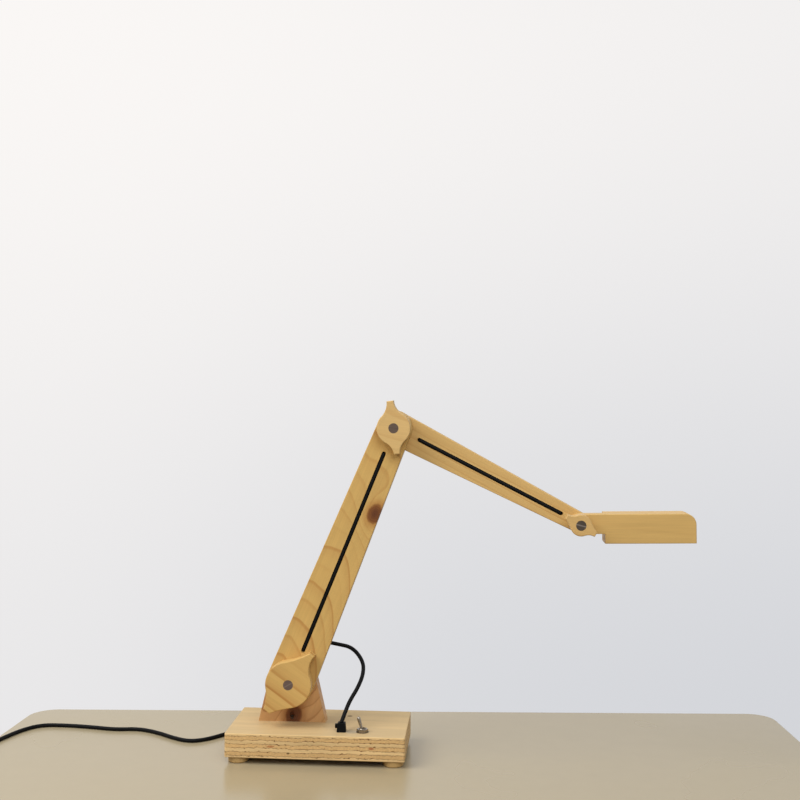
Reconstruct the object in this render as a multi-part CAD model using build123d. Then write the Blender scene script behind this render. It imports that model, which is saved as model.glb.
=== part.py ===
from build123d import *
import os
from math import acos, atan2, cos, degrees, radians, sin, tan

# Wooden swing-arm desk lamp: a plywood base, two tapered pine arms and a slim head, held at three
# pivots by wing knobs. Millimetres. While it is modelled, X runs right from the base's left end,
# Y back from its front edge and Z up from the table. export() moves all of it to the origin below.

# ---------------------------------------------------------------- base
BASE_LENGTH = 142.0
BASE_DEPTH = 76.0
BASE_THICKNESS = 19.0
BASE_CORNER = 1.5
SOFT_EDGE = 0.6
FOOT_DIAMETER = 16.0
FOOT_HEIGHT = 5.0
FOOT_INSET = 9.4
FOOT_TENON_DIAMETER = 8.0
FOOT_TENON_LENGTH = 6.0
CAVITY_X = (BASE_LENGTH - 58.0, BASE_LENGTH - 26.0)
CAVITY_Y = (9.0, BASE_DEPTH - 15.0)
PANEL_THICKNESS = 4.0
COVER_LIP = 6.0
COVER_CORNER = 3.0
COVER_THICKNESS = 3.0

# ---------------------------------------------------------------- pivots and arms
KNOB_SETBACK = 15.0
KNOB_THICKNESS = 10.0
ARM_THICKNESS = 12.0
BASE_PIVOT_X = 0.3352 * BASE_LENGTH
BASE_PIVOT_RISE = 35.0
LOWER_ARM_SPAN = 221.0
LOWER_ARM_LEAN = 21.9
UPPER_ARM_SPAN = 165.4
UPPER_ARM_LEAN = 116.8
LOWER_ARM_RADII = (19.2, 13.9)
UPPER_ARM_RADII = (13.3, 8.1)
BRACKET_TOP_RADIUS = 18.8
BRACKET_FOOT = 55.0

# ---------------------------------------------------------------- studs and nuts (M8)
STUD_DIAMETER = 8.0
STUD_PROUD = 1.5
NUT_ACROSS_FLATS = 13.0
NUT_THICKNESS = 6.5
RUNNING_CLEARANCE = 0.06
GLUE_CLEARANCE = 0.02
POCKET_CLEARANCE = 0.1

# ---------------------------------------------------------------- head
HEAD_LENGTH = 90.5
HEAD_SHOULDER = 19.5
HEAD_TAB_RADIUS = 7.8
HEAD_BELOW_PIVOT = 15.5
HEAD_NOSE_RADIUS = 8.5
HEAD_TILT = 1.2
LIGHT_START = 26.0
LIGHT_END = 85.0
LIGHT_WALL = 4.0
LIGHT_CEILING = 0.4
DIFFUSER_THICKNESS = 2.0
DIFFUSER_LEDGE = 1.4
LED_BOARD_LENGTH = 50.0
LED_BOARD_WIDTH = 12.0
LED_BOARD_THICKNESS = 1.6
LED_COUNT = 6
LED_PITCH = 7.4
LED_SIZE = (3.5, 2.8, 0.8)

# ---------------------------------------------------------------- cord
CORD_DIAMETER = 3.2
GROOVE_CLEARANCE = 0.1
LOWER_GROOVE = (27.4, LOWER_ARM_SPAN - 22.0)
UPPER_GROOVE = (21.4, UPPER_ARM_SPAN - 15.7)
CORD_DIVE_RADIUS = 1.8
HEAD_ENTRY = (30.0, -5.0)
RELIEF_X = BASE_LENGTH - 51.2
RELIEF_Y = 14.0
RELIEF_HEIGHT = 7.2
RELIEF_WIDTH = 7.4
RELIEF_TAPER = 6.0
EXIT_X = BASE_LENGTH - 50.0
EXIT_RISE = 8.0
GROMMET_LENGTH = 7.0

# ---------------------------------------------------------------- switch
SWITCH_X = BASE_LENGTH - 34.5
SWITCH_Y = 13.5
SWITCH_BODY = (13.0, 8.0, 7.0)
BUSHING_DIAMETER = 6.0
BUSHING_RISE = 3.1
SWITCH_NUT_ACROSS_FLATS = 8.0
SWITCH_NUT_THICKNESS = 2.0
SWITCH_WASHER_DIAMETER = 10.0
SWITCH_WASHER_THICKNESS = 0.6
LEVER_REACH = 12.6
LEVER_TIP_DIAMETER = 2.9
LEVER_NECK_DIAMETER = 1.8
LEVER_LEAN = 17.0

# ---------------------------------------------------------------- levels and layers
BASE_TOP = FOOT_HEIGHT + BASE_THICKNESS
KNOB_FRONT = KNOB_SETBACK
ARM_FRONT = KNOB_FRONT + KNOB_THICKNESS
JOINT_FACE = ARM_FRONT + ARM_THICKNESS
ARM_BACK = JOINT_FACE + ARM_THICKNESS
CORD_RADIUS = CORD_DIAMETER / 2
CHANNEL_RADIUS = CORD_RADIUS + GROOVE_CLEARANCE / 2
STUD_LENGTH = KNOB_THICKNESS + 2 * ARM_THICKNESS + STUD_PROUD
CAVITY_TOP = BASE_TOP - PANEL_THICKNESS
CAVITY_FLOOR = FOOT_HEIGHT + COVER_THICKNESS
EXIT_Z = FOOT_HEIGHT + EXIT_RISE


def along(start, lean, distance):
    """The point at a distance from start, along a direction that leans from upright towards +X."""
    return (start[0] + distance * sin(radians(lean)), start[1] + distance * cos(radians(lean)))


BASE_PIVOT = (BASE_PIVOT_X, BASE_TOP + BASE_PIVOT_RISE)
ELBOW_PIVOT = along(BASE_PIVOT, LOWER_ARM_LEAN, LOWER_ARM_SPAN)
HEAD_PIVOT = along(ELBOW_PIVOT, UPPER_ARM_LEAN, UPPER_ARM_SPAN)
HEAD_REACH = HEAD_LENGTH * cos(radians(HEAD_TILT)) + HEAD_BELOW_PIVOT * sin(radians(HEAD_TILT))
ORIGIN = Vector((HEAD_PIVOT[0] + HEAD_REACH) / 2, (BASE_DEPTH + GROMMET_LENGTH) / 2, 0)


# ---------------------------------------------------------------- shared forms
def slab(outline, front, thickness):
    """An outline drawn in X and Z, carried back from its front face."""
    return extrude(Plane.XZ.offset(-front) * outline, amount=-thickness)


def rod(centre, radius, front, length):
    """A round bar or bore along Y."""
    return slab(Pos(*centre) * Circle(radius), front, length)


def upright(centre, radius, bottom, height):
    """A round bar or bore along Z."""
    return extrude(Pos(centre[0], centre[1], bottom) * Circle(radius), amount=height)


def block(x, y, z):
    """A box between two values on each axis."""
    size = Box(x[1] - x[0], y[1] - y[0], z[1] - z[0])
    return Pos(sum(x) / 2, sum(y) / 2, sum(z) / 2) * size


def soften(solid, radius):
    """Rounds the rims of a slab's front and back faces."""
    faces = solid.faces().sort_by(Axis.Y)
    return fillet(faces[0].edges() + faces[-1].edges(), radius)


def polar(radius, angle):
    return Vector(radius * cos(radians(angle)), radius * sin(radians(angle)))


def tapered_outline(span, near_radius, far_radius):
    """Two round ends and the straight sides that touch both."""
    flare = degrees(acos((near_radius - far_radius) / span))
    near = [polar(near_radius, flare), polar(near_radius, -flare)]
    far = [Vector(span, 0) + polar(far_radius, flare), Vector(span, 0) + polar(far_radius, -flare)]
    return make_face([
        Line(near[0], far[0]),
        ThreePointArc(far[0], Vector(span + far_radius, 0), far[1]),
        Line(far[1], near[1]),
        ThreePointArc(near[1], Vector(-near_radius, 0), near[0]),
    ])


# ---------------------------------------------------------------- wing knobs
def hollow(tip, body_radius, hollow_radius, side):
    """The hollow flank of a wing: an arc that touches the round body and ends at the wing's tip.

    side is 1 where the body lies anticlockwise of the tip and -1 where it lies clockwise."""
    reach = tip.length
    centre_reach = body_radius + hollow_radius
    cosine = (centre_reach**2 + reach**2 - hollow_radius**2) / (2 * centre_reach * reach)
    bearing = degrees(atan2(tip.Y, tip.X)) + side * degrees(acos(cosine))
    centre = polar(centre_reach, bearing)
    touch = polar(body_radius, bearing)
    middle = ((touch - centre).normalized() + (tip - centre).normalized()).normalized()
    return touch, ThreePointArc(touch, centre + middle * hollow_radius, tip)


def wing_outline(body_radius, wings):
    """A round knob with a wing at each bearing, given as (bearing, reach, tip, leading, trailing).

    leading and trailing are the hollow radii on the anticlockwise and the clockwise flank."""
    edges = []
    touches = []
    for bearing, reach, tip_width, leading, trailing in wings:
        half = degrees(atan2(tip_width / 2, reach))
        tips = [polar(reach, bearing + half), polar(reach, bearing - half)]
        lead_touch, lead_arc = hollow(tips[0], body_radius, leading, 1)
        trail_touch, trail_arc = hollow(tips[1], body_radius, trailing, -1)
        edges += [lead_arc, Line(tips[0], tips[1]), trail_arc]
        touches.append((lead_touch, trail_touch))
    for this, following in zip(touches, touches[1:] + touches[:1]):
        middle = (this[0].normalized() + following[1].normalized()).normalized() * body_radius
        edges.append(ThreePointArc(this[0], middle, following[1]))
    return make_face(edges)


KNOB_SOFT_EDGE = 0.8
BASE_KNOB_RADIUS = 18.5
ELBOW_KNOB_RADIUS = 13.4
HEAD_KNOB_RADIUS = 8.5
BASE_KNOB_WINGS = [(51.9, 31.0, 4.4, 70.0, 16.5), (230.8, 27.6, 6.0, 75.0, 30.0)]
ELBOW_KNOB_WINGS = [(98.0, 22.0, 5.5, 15.0, 12.7), (278.0, 20.9, 4.7, 13.0, 13.0)]
HEAD_KNOB_WINGS = [(149.0, 13.4, 4.0, 26.0, 9.0), (329.0, 13.6, 4.2, 26.0, 9.0)]


def wing_knob(pivot, body_radius, wings):
    knob = slab(Pos(*pivot) * wing_outline(body_radius, wings), KNOB_FRONT, KNOB_THICKNESS)
    knob = soften(knob, KNOB_SOFT_EDGE)
    return knob - rod(pivot, STUD_DIAMETER / 2 + GLUE_CLEARANCE, KNOB_FRONT, KNOB_THICKNESS)


def stud(pivot):
    """The threaded stud, sawn off flush with the knob's face, at its thread's outer size."""
    bar = rod(pivot, STUD_DIAMETER / 2, KNOB_FRONT, STUD_LENGTH)
    return chamfer(bar.faces().sort_by(Axis.Y)[-1].edges(), STUD_PROUD / 2)


def nut_outline(pivot, turn, clearance=0.0):
    across = NUT_ACROSS_FLATS / 2 + clearance
    return Pos(*pivot) * Rot(0, 0, turn) * RegularPolygon(across, 6, major_radius=False)


def nut(pivot, turn):
    """An M8 nut let into the back of the rear piece, with its corners turned off at the back."""
    body = slab(nut_outline(pivot, turn), ARM_BACK - NUT_THICKNESS, NUT_THICKNESS)
    corner = NUT_ACROSS_FLATS / 2 / cos(radians(30))
    cone = rod(pivot, corner + CORD_RADIUS, ARM_BACK - NUT_THICKNESS, NUT_THICKNESS)
    cone = chamfer(cone.faces().sort_by(Axis.Y)[-1].edges(), CORD_RADIUS + 1.0, 1.6)
    bore = rod(pivot, STUD_DIAMETER / 2 + RUNNING_CLEARANCE, ARM_BACK - NUT_THICKNESS, NUT_THICKNESS)
    return (body & cone) - bore


def stud_bore(pivot, front):
    return rod(pivot, STUD_DIAMETER / 2 + RUNNING_CLEARANCE, front, ARM_THICKNESS)


def nut_pocket(pivot, turn):
    outline = nut_outline(pivot, turn, POCKET_CLEARANCE)
    return slab(outline, ARM_BACK - NUT_THICKNESS, NUT_THICKNESS)


# ---------------------------------------------------------------- arms and their inlaid cord
LOWER_PLACE = (BASE_PIVOT, LOWER_ARM_LEAN)
UPPER_PLACE = (ELBOW_PIVOT, UPPER_ARM_LEAN)
UPPER_ARM_TURN = 90.0 - UPPER_ARM_LEAN


def arm(pivot, lean, span, radii, groove, front):
    """A tapered arm. Its cord groove has a round bottom that turns through the arm at each end."""
    place = Pos(*pivot) * Rot(0, 0, 90.0 - lean)
    body = soften(slab(place * tapered_outline(span, *radii), front, ARM_THICKNESS), SOFT_EDGE)
    slot = Pos(sum(groove) / 2, 0) * SlotCenterToCenter(groove[1] - groove[0], 2 * CHANNEL_RADIUS)
    body -= slab(place * slot, front, CORD_RADIUS)
    body -= inlaid_cord(pivot, lean, groove, front, CHANNEL_RADIUS)
    body -= stud_bore(pivot, front)
    body -= stud_bore(along(pivot, lean, span), front)
    return body


def lower_arm():
    return arm(*LOWER_PLACE, LOWER_ARM_SPAN, LOWER_ARM_RADII, LOWER_GROOVE, ARM_FRONT)


def upper_arm():
    """The upper arm carries the nuts of its own two pivots, let into its back."""
    body = arm(*UPPER_PLACE, UPPER_ARM_SPAN, UPPER_ARM_RADII, UPPER_GROOVE, JOINT_FACE)
    return body - nut_pocket(ELBOW_PIVOT, UPPER_ARM_TURN) - nut_pocket(HEAD_PIVOT, UPPER_ARM_TURN)


def sweep_cord(route, radii, section_radius=CORD_RADIUS):
    """A cord's solid: straight runs joined by arcs that touch them."""
    path = FilletPolyline(*route, radius=radii)
    section = Plane(origin=path @ 0, z_dir=path % 0) * Circle(section_radius)
    return sweep(section, path=path)


def inlaid_cord(pivot, lean, groove, front, section_radius=CORD_RADIUS):
    """The cord in an arm's groove, which dives through the arm at both ends."""
    depth = front + CORD_RADIUS
    back = front + ARM_THICKNESS
    ends = [along(pivot, lean, distance) for distance in groove]
    route = [(x, y, z) for (x, z), y in zip(
        [ends[0], ends[0], ends[1], ends[1]], [back, depth, depth, back])]
    return sweep_cord(route, CORD_DIVE_RADIUS, section_radius)


# ---------------------------------------------------------------- free cord
ARC_SHARE = 0.45


def arc_radii(route):
    """The radius at each inner point of a route: as large as its two runs allow."""
    points = [Vector(*p) for p in route]
    radii = []
    for before, here, after in zip(points, points[1:], points[2:]):
        turn = (here - before).get_angle(after - here)
        run = min((here - before).length, (after - here).length)
        radii.append(ARC_SHARE * run / tan(radians(turn / 2)))
    return radii


def free_cord(name, route):
    radii = arc_radii(route)
    path = FilletPolyline(*route, radius=radii)
    tube = sweep_cord(route, radii)
    share = tube.volume / (path.length * Circle(CORD_RADIUS).area)
    print(f"{name}: {path.length:.0f} mm, smallest radius {min(radii):.1f} mm, volume share {share:.4f}")
    return tube


LOWER_EXIT = along(BASE_PIVOT, LOWER_ARM_LEAN, LOWER_GROOVE[0])
ELBOW_LOWER_EXIT = along(BASE_PIVOT, LOWER_ARM_LEAN, LOWER_GROOVE[1])
ELBOW_UPPER_EXIT = along(ELBOW_PIVOT, UPPER_ARM_LEAN, UPPER_GROOVE[0])
UPPER_EXIT = along(ELBOW_PIVOT, UPPER_ARM_LEAN, UPPER_GROOVE[1])
HEAD_HOLE = (HEAD_PIVOT[0] + HEAD_ENTRY[0], HEAD_PIVOT[1] + HEAD_ENTRY[1])


def steps_from(start, steps):
    """The points at the given steps from a start."""
    return [tuple(a + b for a, b in zip(start, step)) for step in steps]


def tilted(point):
    """A point of the level head after the head is tilted about its pivot, nose up."""
    out = point[0] - HEAD_PIVOT[0]
    rise = point[2] - HEAD_PIVOT[1]
    turn = radians(HEAD_TILT)
    return (HEAD_PIVOT[0] + out * cos(turn) - rise * sin(turn), point[1],
            HEAD_PIVOT[1] + out * sin(turn) + rise * cos(turn))


BASE_LOOP_START = (LOWER_EXIT[0], JOINT_FACE, LOWER_EXIT[1])
BASE_LOOP_END = (RELIEF_X, RELIEF_Y, BASE_TOP + RELIEF_HEIGHT)
BASE_LOOP_ROUTE = [
    BASE_LOOP_START,
    *steps_from(BASE_LOOP_START, [(0, 9, 0), (4.3, 17, 0.2), (13.3, 20.5, -0.3), (23.8, 19, -1.8),
                                  (35.3, 14, -4.9)]),
    *steps_from(BASE_LOOP_END, [(12.7, 32, 41.4), (15.4, 27, 32.9), (11.8, 18.5, 23.4),
                                (6.6, 10, 13.9), (2.6, 3.2, 6.9)]),
    BASE_LOOP_END,
]
ELBOW_LOOP_START = (ELBOW_LOWER_EXIT[0], JOINT_FACE, ELBOW_LOWER_EXIT[1])
ELBOW_LOOP_END = (ELBOW_UPPER_EXIT[0], ARM_BACK, ELBOW_UPPER_EXIT[1])
ELBOW_LOOP_ROUTE = [
    ELBOW_LOOP_START,
    *steps_from(ELBOW_LOOP_START, [(0, 12, 0)]),
    *steps_from((ELBOW_PIVOT[0], ARM_BACK, ELBOW_PIVOT[1]),
                [(-3.9, 12.5, -21), (4.9, 21, -18), (15.2, 19, -13.6)]),
    *steps_from(ELBOW_LOOP_END, [(0, 10.5, 0)]),
    ELBOW_LOOP_END,
]
HEAD_LOOP_START = (UPPER_EXIT[0], ARM_BACK, UPPER_EXIT[1])
HEAD_LOOP_END = tilted((HEAD_HOLE[0], ARM_BACK, HEAD_HOLE[1]))
HEAD_LOOP_ROUTE = [
    HEAD_LOOP_START,
    *steps_from(HEAD_LOOP_START, [(0, 11, 0)]),
    *steps_from((HEAD_PIVOT[0], ARM_BACK, HEAD_PIVOT[1]),
                [(-8.4, 20.5, 4.1), (2.2, 24, 0.5), (13.8, 24, -2.6), (23.9, 20.5, -4.7)]),
    *steps_from(HEAD_LOOP_END, [(0, 11, 0)]),
    HEAD_LOOP_END,
]

COIL_CENTRE = (-226.8, BASE_DEPTH - 62.0)
COIL_MEAN_RADIUS = 18.0
COIL_STRANDS_WIDE = 4
COIL_STRANDS_HIGH = 3
COIL_OUTER_STRAND = COIL_MEAN_RADIUS + (COIL_STRANDS_WIDE - 1) * CORD_RADIUS
PLUG_GRIP = (11.6, 24.0, 8.0)
PLUG_SHELL = (12.0, 13.0, 4.5)
PLUG_SHELL_WALL = 0.4
PLUG_WINDOW = 2.3
PLUG_TONGUE_THICKNESS = 1.8
PLUG_GAP = 0.5
PLUG_X = COIL_CENTRE[0] - COIL_OUTER_STRAND - CORD_RADIUS - PLUG_SHELL[0] / 2 - PLUG_GAP
PLUG_START_Y = COIL_CENTRE[1] - 4.0
PLUG_Z = PLUG_GRIP[2] / 2

SUPPLY_START = (EXIT_X, BASE_DEPTH + GROMMET_LENGTH, EXIT_Z)
SUPPLY_ROUTE = [
    SUPPLY_START,
    *steps_from(SUPPLY_START, [(0, 11, 0), (-3, 23, -5.4), (-14.5, 33, -10.6)]),
    *steps_from((0, BASE_DEPTH, CORD_RADIUS), [
        (58, 43.5, 0), (36, 39.5, 0), (14, 28, 0), (-2.5, 12.5, 0), (-16.5, -5, 0), (-27.5, -20, 0),
        (-40, -26.5, 0), (-54, -20, 0), (-73, -5, 0), (-92.5, 4.5, 0), (-112, 0.5, 0),
        (-134, 5.5, 0), (-158, 8.5, 0), (-179.5, 7.5, 0)]),
    *steps_from((*COIL_CENTRE, CORD_RADIUS), [
        (36.3, 53, 0), (30.8, 33, 0), (26.3, 15, 0), (COIL_OUTER_STRAND, 0, 0)]),
]
PLUG_START = (PLUG_X, PLUG_START_Y, PLUG_Z)
PLUG_TAIL_ROUTE = [
    *steps_from((*COIL_CENTRE, CORD_RADIUS), [
        (0, -COIL_OUTER_STRAND, 0), (-9.2, -23.4, 0), (-20.2, -24, 0.2)]),
    *steps_from(PLUG_START, [(2.7, -15.5, -1.4), (0, -8.5, 0)]),
    PLUG_START,
]


# ---------------------------------------------------------------- base pieces
def foot_centres():
    for row, y in (("front", FOOT_INSET), ("back", BASE_DEPTH - FOOT_INSET)):
        for side, x in (("left", FOOT_INSET), ("right", BASE_LENGTH - FOOT_INSET)):
            yield f"foot_{row}_{side}", (x, y)


def foot(centre):
    """A turned wooden button: a disc with a softened rim and a tenon glued into the board."""
    disc = upright(centre, FOOT_DIAMETER / 2, 0, FOOT_HEIGHT)
    disc = fillet(disc.faces().sort_by(Axis.Z)[0].edges(), 1.2)
    return disc + upright(centre, FOOT_TENON_DIAMETER / 2, FOOT_HEIGHT, FOOT_TENON_LENGTH)


BRACKET_Y = JOINT_FACE + ARM_THICKNESS / 2
BRACKET_SCREW_SPREAD = 17.0
BRACKET_SCREW_LENGTH = 26.0
BRACKET_SCREW_RADIUS = 1.75
BRACKET_SCREW_HEAD_RADIUS = 3.4
BRACKET_SCREW_SINK = 3.0
COVER_SCREW_RADIUS = 1.25
COVER_SCREW_HEAD_RADIUS = 2.4
COVER_SCREW_LENGTH = 10.0
TOE_SCREW_TILT = 35.0
TOE_POCKET_TOP = 9.0
TOE_POCKET_RADIUS = 1.95
TOE_SCREW_RADIUS = 1.2
TOE_SCREW_LENGTH = 20.0
TOE_HEAD_THICKNESS = 2.0
TOE_HEAD_DEPTH = 2.4
TOE_SLOT = 0.6
SCREW_SLOT_WIDTH = 0.8
SCREW_SLOT_DEPTH = 0.7


def toe_axis():
    """The toe screw's axis where it crosses the bracket's front face, pointing down and back."""
    rise = TOE_POCKET_TOP - TOE_POCKET_RADIUS / sin(radians(TOE_SCREW_TILT))
    start = (BASE_PIVOT_X, JOINT_FACE, BASE_TOP + rise)
    return Plane(origin=start, x_dir=(1, 0, 0), z_dir=(0, sin(radians(TOE_SCREW_TILT)),
                                                        -cos(radians(TOE_SCREW_TILT))))


def toe_bar(radius, start, length):
    return extrude(toe_axis().offset(start) * Circle(radius), amount=length)


def toe_screw():
    head = toe_bar(TOE_POCKET_RADIUS - POCKET_CLEARANCE, TOE_HEAD_DEPTH, TOE_HEAD_THICKNESS)
    shank = toe_bar(TOE_SCREW_RADIUS, TOE_HEAD_DEPTH + TOE_HEAD_THICKNESS, TOE_SCREW_LENGTH)
    slot = toe_axis().offset(TOE_HEAD_DEPTH) * Rectangle(TOE_SLOT, 2 * TOE_POCKET_RADIUS)
    return head + shank - extrude(slot, amount=TOE_SLOT)


def wood_screw(centre, head_bottom, radius, head_radius, length):
    """A countersunk screw driven upwards, with a slot across its head."""
    head_height = head_radius - radius
    cone = Pos(*centre, head_bottom + head_height / 2) * Cone(head_radius, radius, head_height)
    shank = upright(centre, radius, head_bottom + head_height, length - head_height)
    point = Pos(*centre, head_bottom + length + radius) * Cone(radius, 0.2, 2 * radius)
    slot = block((centre[0] - head_radius, centre[0] + head_radius),
                 (centre[1] - SCREW_SLOT_WIDTH / 2, centre[1] + SCREW_SLOT_WIDTH / 2),
                 (head_bottom, head_bottom + SCREW_SLOT_DEPTH))
    return cone + shank + point - slot


def wood_screw_hole(centre, head_bottom, radius, head_radius, length):
    head_height = head_radius - radius
    cone = Pos(*centre, head_bottom + head_height / 2) * Cone(head_radius, radius, head_height)
    return cone + upright(centre, radius, head_bottom, length + 2 * radius)


def bracket_screw_places():
    return [(BASE_PIVOT_X + side * BRACKET_SCREW_SPREAD, BRACKET_Y) for side in (-1, 1)]


def cover_edges():
    x = (CAVITY_X[0] - COVER_LIP, CAVITY_X[1] + COVER_LIP)
    y = (CAVITY_Y[0] - COVER_LIP, CAVITY_Y[1] + COVER_LIP)
    return x, y


def cover_screw_places():
    x, y = cover_edges()
    inset = COVER_LIP / 2
    return [(a, b) for a in (x[0] + inset, x[1] - inset) for b in (y[0] + inset, y[1] - inset)]


def bracket_outline():
    """A round top and the straight sides that touch it, down to a wider foot."""
    corner = Vector(BRACKET_FOOT / 2, -BASE_PIVOT_RISE)
    bearing = degrees(atan2(corner.Y, corner.X)) + degrees(acos(BRACKET_TOP_RADIUS / corner.length))
    right = polar(BRACKET_TOP_RADIUS, bearing)
    left = Vector(-right.X, right.Y)
    return make_face([
        Line(Vector(-corner.X, corner.Y), corner),
        Line(corner, right),
        ThreePointArc(right, Vector(0, BRACKET_TOP_RADIUS), left),
        Line(left, Vector(-corner.X, corner.Y)),
    ])


def pivot_bracket():
    body = slab(Pos(*BASE_PIVOT) * bracket_outline(), JOINT_FACE, ARM_THICKNESS)
    body -= stud_bore(BASE_PIVOT, JOINT_FACE)
    body -= nut_pocket(BASE_PIVOT, 0)
    pocket_depth = TOE_HEAD_DEPTH + TOE_HEAD_THICKNESS
    body -= toe_bar(TOE_POCKET_RADIUS, -ARM_THICKNESS, ARM_THICKNESS + pocket_depth)
    body -= toe_bar(TOE_SCREW_RADIUS, TOE_HEAD_DEPTH, TOE_SCREW_LENGTH)
    for place in bracket_screw_places():
        body -= wood_screw_hole(place, FOOT_HEIGHT + BRACKET_SCREW_SINK, BRACKET_SCREW_RADIUS,
                                BRACKET_SCREW_HEAD_RADIUS, BRACKET_SCREW_LENGTH)
    return body


def base_board():
    board = block((0, BASE_LENGTH), (0, BASE_DEPTH), (FOOT_HEIGHT, BASE_TOP))
    board = fillet(board.edges().filter_by(Axis.Z), BASE_CORNER)
    rims = board.faces().sort_by(Axis.Z)
    board = fillet(rims[0].edges() + rims[-1].edges(), SOFT_EDGE)
    cavity = block(CAVITY_X, CAVITY_Y, (FOOT_HEIGHT, CAVITY_TOP))
    board -= fillet(cavity.edges().filter_by(Axis.Z), COVER_CORNER)
    lid = block(*cover_edges(), (FOOT_HEIGHT, CAVITY_FLOOR))
    board -= fillet(lid.edges().filter_by(Axis.Z), COVER_CORNER)
    for _, centre in foot_centres():
        board -= upright(centre, FOOT_TENON_DIAMETER / 2, FOOT_HEIGHT, FOOT_TENON_LENGTH)
    for place in bracket_screw_places():
        board -= upright(place, BRACKET_SCREW_HEAD_RADIUS, FOOT_HEIGHT, BRACKET_SCREW_SINK)
        board -= wood_screw_hole(place, FOOT_HEIGHT + BRACKET_SCREW_SINK, BRACKET_SCREW_RADIUS,
                                 BRACKET_SCREW_HEAD_RADIUS, BRACKET_SCREW_LENGTH)
    for place in cover_screw_places():
        board -= wood_screw_hole(place, FOOT_HEIGHT, COVER_SCREW_RADIUS,
                                 COVER_SCREW_HEAD_RADIUS, COVER_SCREW_LENGTH)
    board -= toe_bar(TOE_SCREW_RADIUS, TOE_HEAD_DEPTH, TOE_HEAD_THICKNESS + TOE_SCREW_LENGTH)
    board -= upright((RELIEF_X, RELIEF_Y), RELIEF_SHANK_RADIUS, CAVITY_TOP, PANEL_THICKNESS)
    board -= upright((SWITCH_X, SWITCH_Y), BUSHING_DIAMETER / 2, CAVITY_TOP, PANEL_THICKNESS)
    board -= rod((EXIT_X, EXIT_Z), GROMMET_SHANK_RADIUS, CAVITY_Y[1], BASE_DEPTH - CAVITY_Y[1])
    return board


def cavity_cover():
    plate = block(*cover_edges(), (FOOT_HEIGHT, CAVITY_FLOOR))
    plate = fillet(plate.edges().filter_by(Axis.Z), COVER_CORNER)
    for place in cover_screw_places():
        plate -= wood_screw_hole(place, FOOT_HEIGHT, COVER_SCREW_RADIUS,
                                 COVER_SCREW_HEAD_RADIUS, COVER_SCREW_LENGTH)
    return plate


# ---------------------------------------------------------------- cord fittings
RELIEF_SHANK_RADIUS = 2.7
RELIEF_CORNER = 1.2
RELIEF_TOP_EDGE = 0.5
RELIEF_EAR = (2.4, 3.0, 3.1)
RELIEF_EAR_ROOT = 1.0
RELIEF_EAR_DROP = 1.4
RELIEF_EAR_CORNER = 0.7
GROMMET_SHANK_RADIUS = 2.6
GROMMET_FLANGE_RADIUS = 4.2
GROMMET_FLANGE = 1.2
GROMMET_NOSE_RADIUS = 3.2
GROMMET_WALL = 0.5


def strain_relief():
    """A snap-in cord grip: a tapered square body with a locking ear and a shank through the panel."""
    section = RectangleRounded(RELIEF_WIDTH, RELIEF_WIDTH, RELIEF_CORNER)
    body = extrude(Pos(RELIEF_X, RELIEF_Y, BASE_TOP) * section, amount=RELIEF_HEIGHT, taper=RELIEF_TAPER)
    body = fillet(body.faces().sort_by(Axis.Z)[-1].edges(), RELIEF_TOP_EDGE)
    ear_right = RELIEF_X - RELIEF_WIDTH / 2 + RELIEF_EAR_ROOT
    ear_top = BASE_TOP + RELIEF_HEIGHT - RELIEF_EAR_DROP
    ear = block((ear_right - RELIEF_EAR[0], ear_right),
                (RELIEF_Y - RELIEF_EAR[1] / 2, RELIEF_Y + RELIEF_EAR[1] / 2),
                (ear_top - RELIEF_EAR[2], ear_top))
    body += fillet(ear.edges().filter_by(Axis.Z), RELIEF_EAR_CORNER)
    centre = (RELIEF_X, RELIEF_Y)
    body += upright(centre, RELIEF_SHANK_RADIUS, CAVITY_TOP, PANEL_THICKNESS)
    return body - upright(centre, CORD_RADIUS, CAVITY_TOP, PANEL_THICKNESS + RELIEF_HEIGHT)


def back_grommet():
    """A rubber bush in the base's back edge, with a flange and a tapered nose round the lead."""
    centre = (EXIT_X, EXIT_Z)
    bush = rod(centre, GROMMET_SHANK_RADIUS, CAVITY_Y[1], BASE_DEPTH - CAVITY_Y[1])
    bush += rod(centre, GROMMET_FLANGE_RADIUS, BASE_DEPTH, GROMMET_FLANGE)
    nose_start = (EXIT_X, BASE_DEPTH + GROMMET_FLANGE, EXIT_Z)
    nose = Plane(origin=nose_start, x_dir=(1, 0, 0), z_dir=(0, 1, 0))
    tip = nose.offset(GROMMET_LENGTH - GROMMET_FLANGE)
    bush += loft([nose * Circle(GROMMET_NOSE_RADIUS), tip * Circle(CORD_RADIUS + GROMMET_WALL)])
    return bush - rod(centre, CORD_RADIUS, CAVITY_Y[1], BASE_DEPTH - CAVITY_Y[1] + GROMMET_LENGTH)


# ---------------------------------------------------------------- switch
LEVER_BALL_RADIUS = 1.6
LEVER_PIVOT_RISE = 0.8
LEVER_PIVOT_Z = BASE_TOP + LEVER_PIVOT_RISE
LEVER_TAIL = 2.3
BUSHING_BORE_RADIUS = 1.85
LEVER_PIN_RADIUS = 0.5
LEVER_PIN_LENGTH = 2 * BUSHING_BORE_RADIUS - 0.24
BUSHING_MOUTH_RADIUS = 2.65
TERMINAL_PITCH = 4.7
TERMINAL_LENGTH = 2.6
TERMINAL_WIDTH = 2.0
TERMINAL_THICKNESS = 0.6


def switch_body():
    centre = Pos(SWITCH_X, SWITCH_Y, CAVITY_TOP - SWITCH_BODY[2] / 2)
    case = centre * Box(*SWITCH_BODY)
    return chamfer(case.faces().sort_by(Axis.Z)[0].edges(), 0.5)


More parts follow.
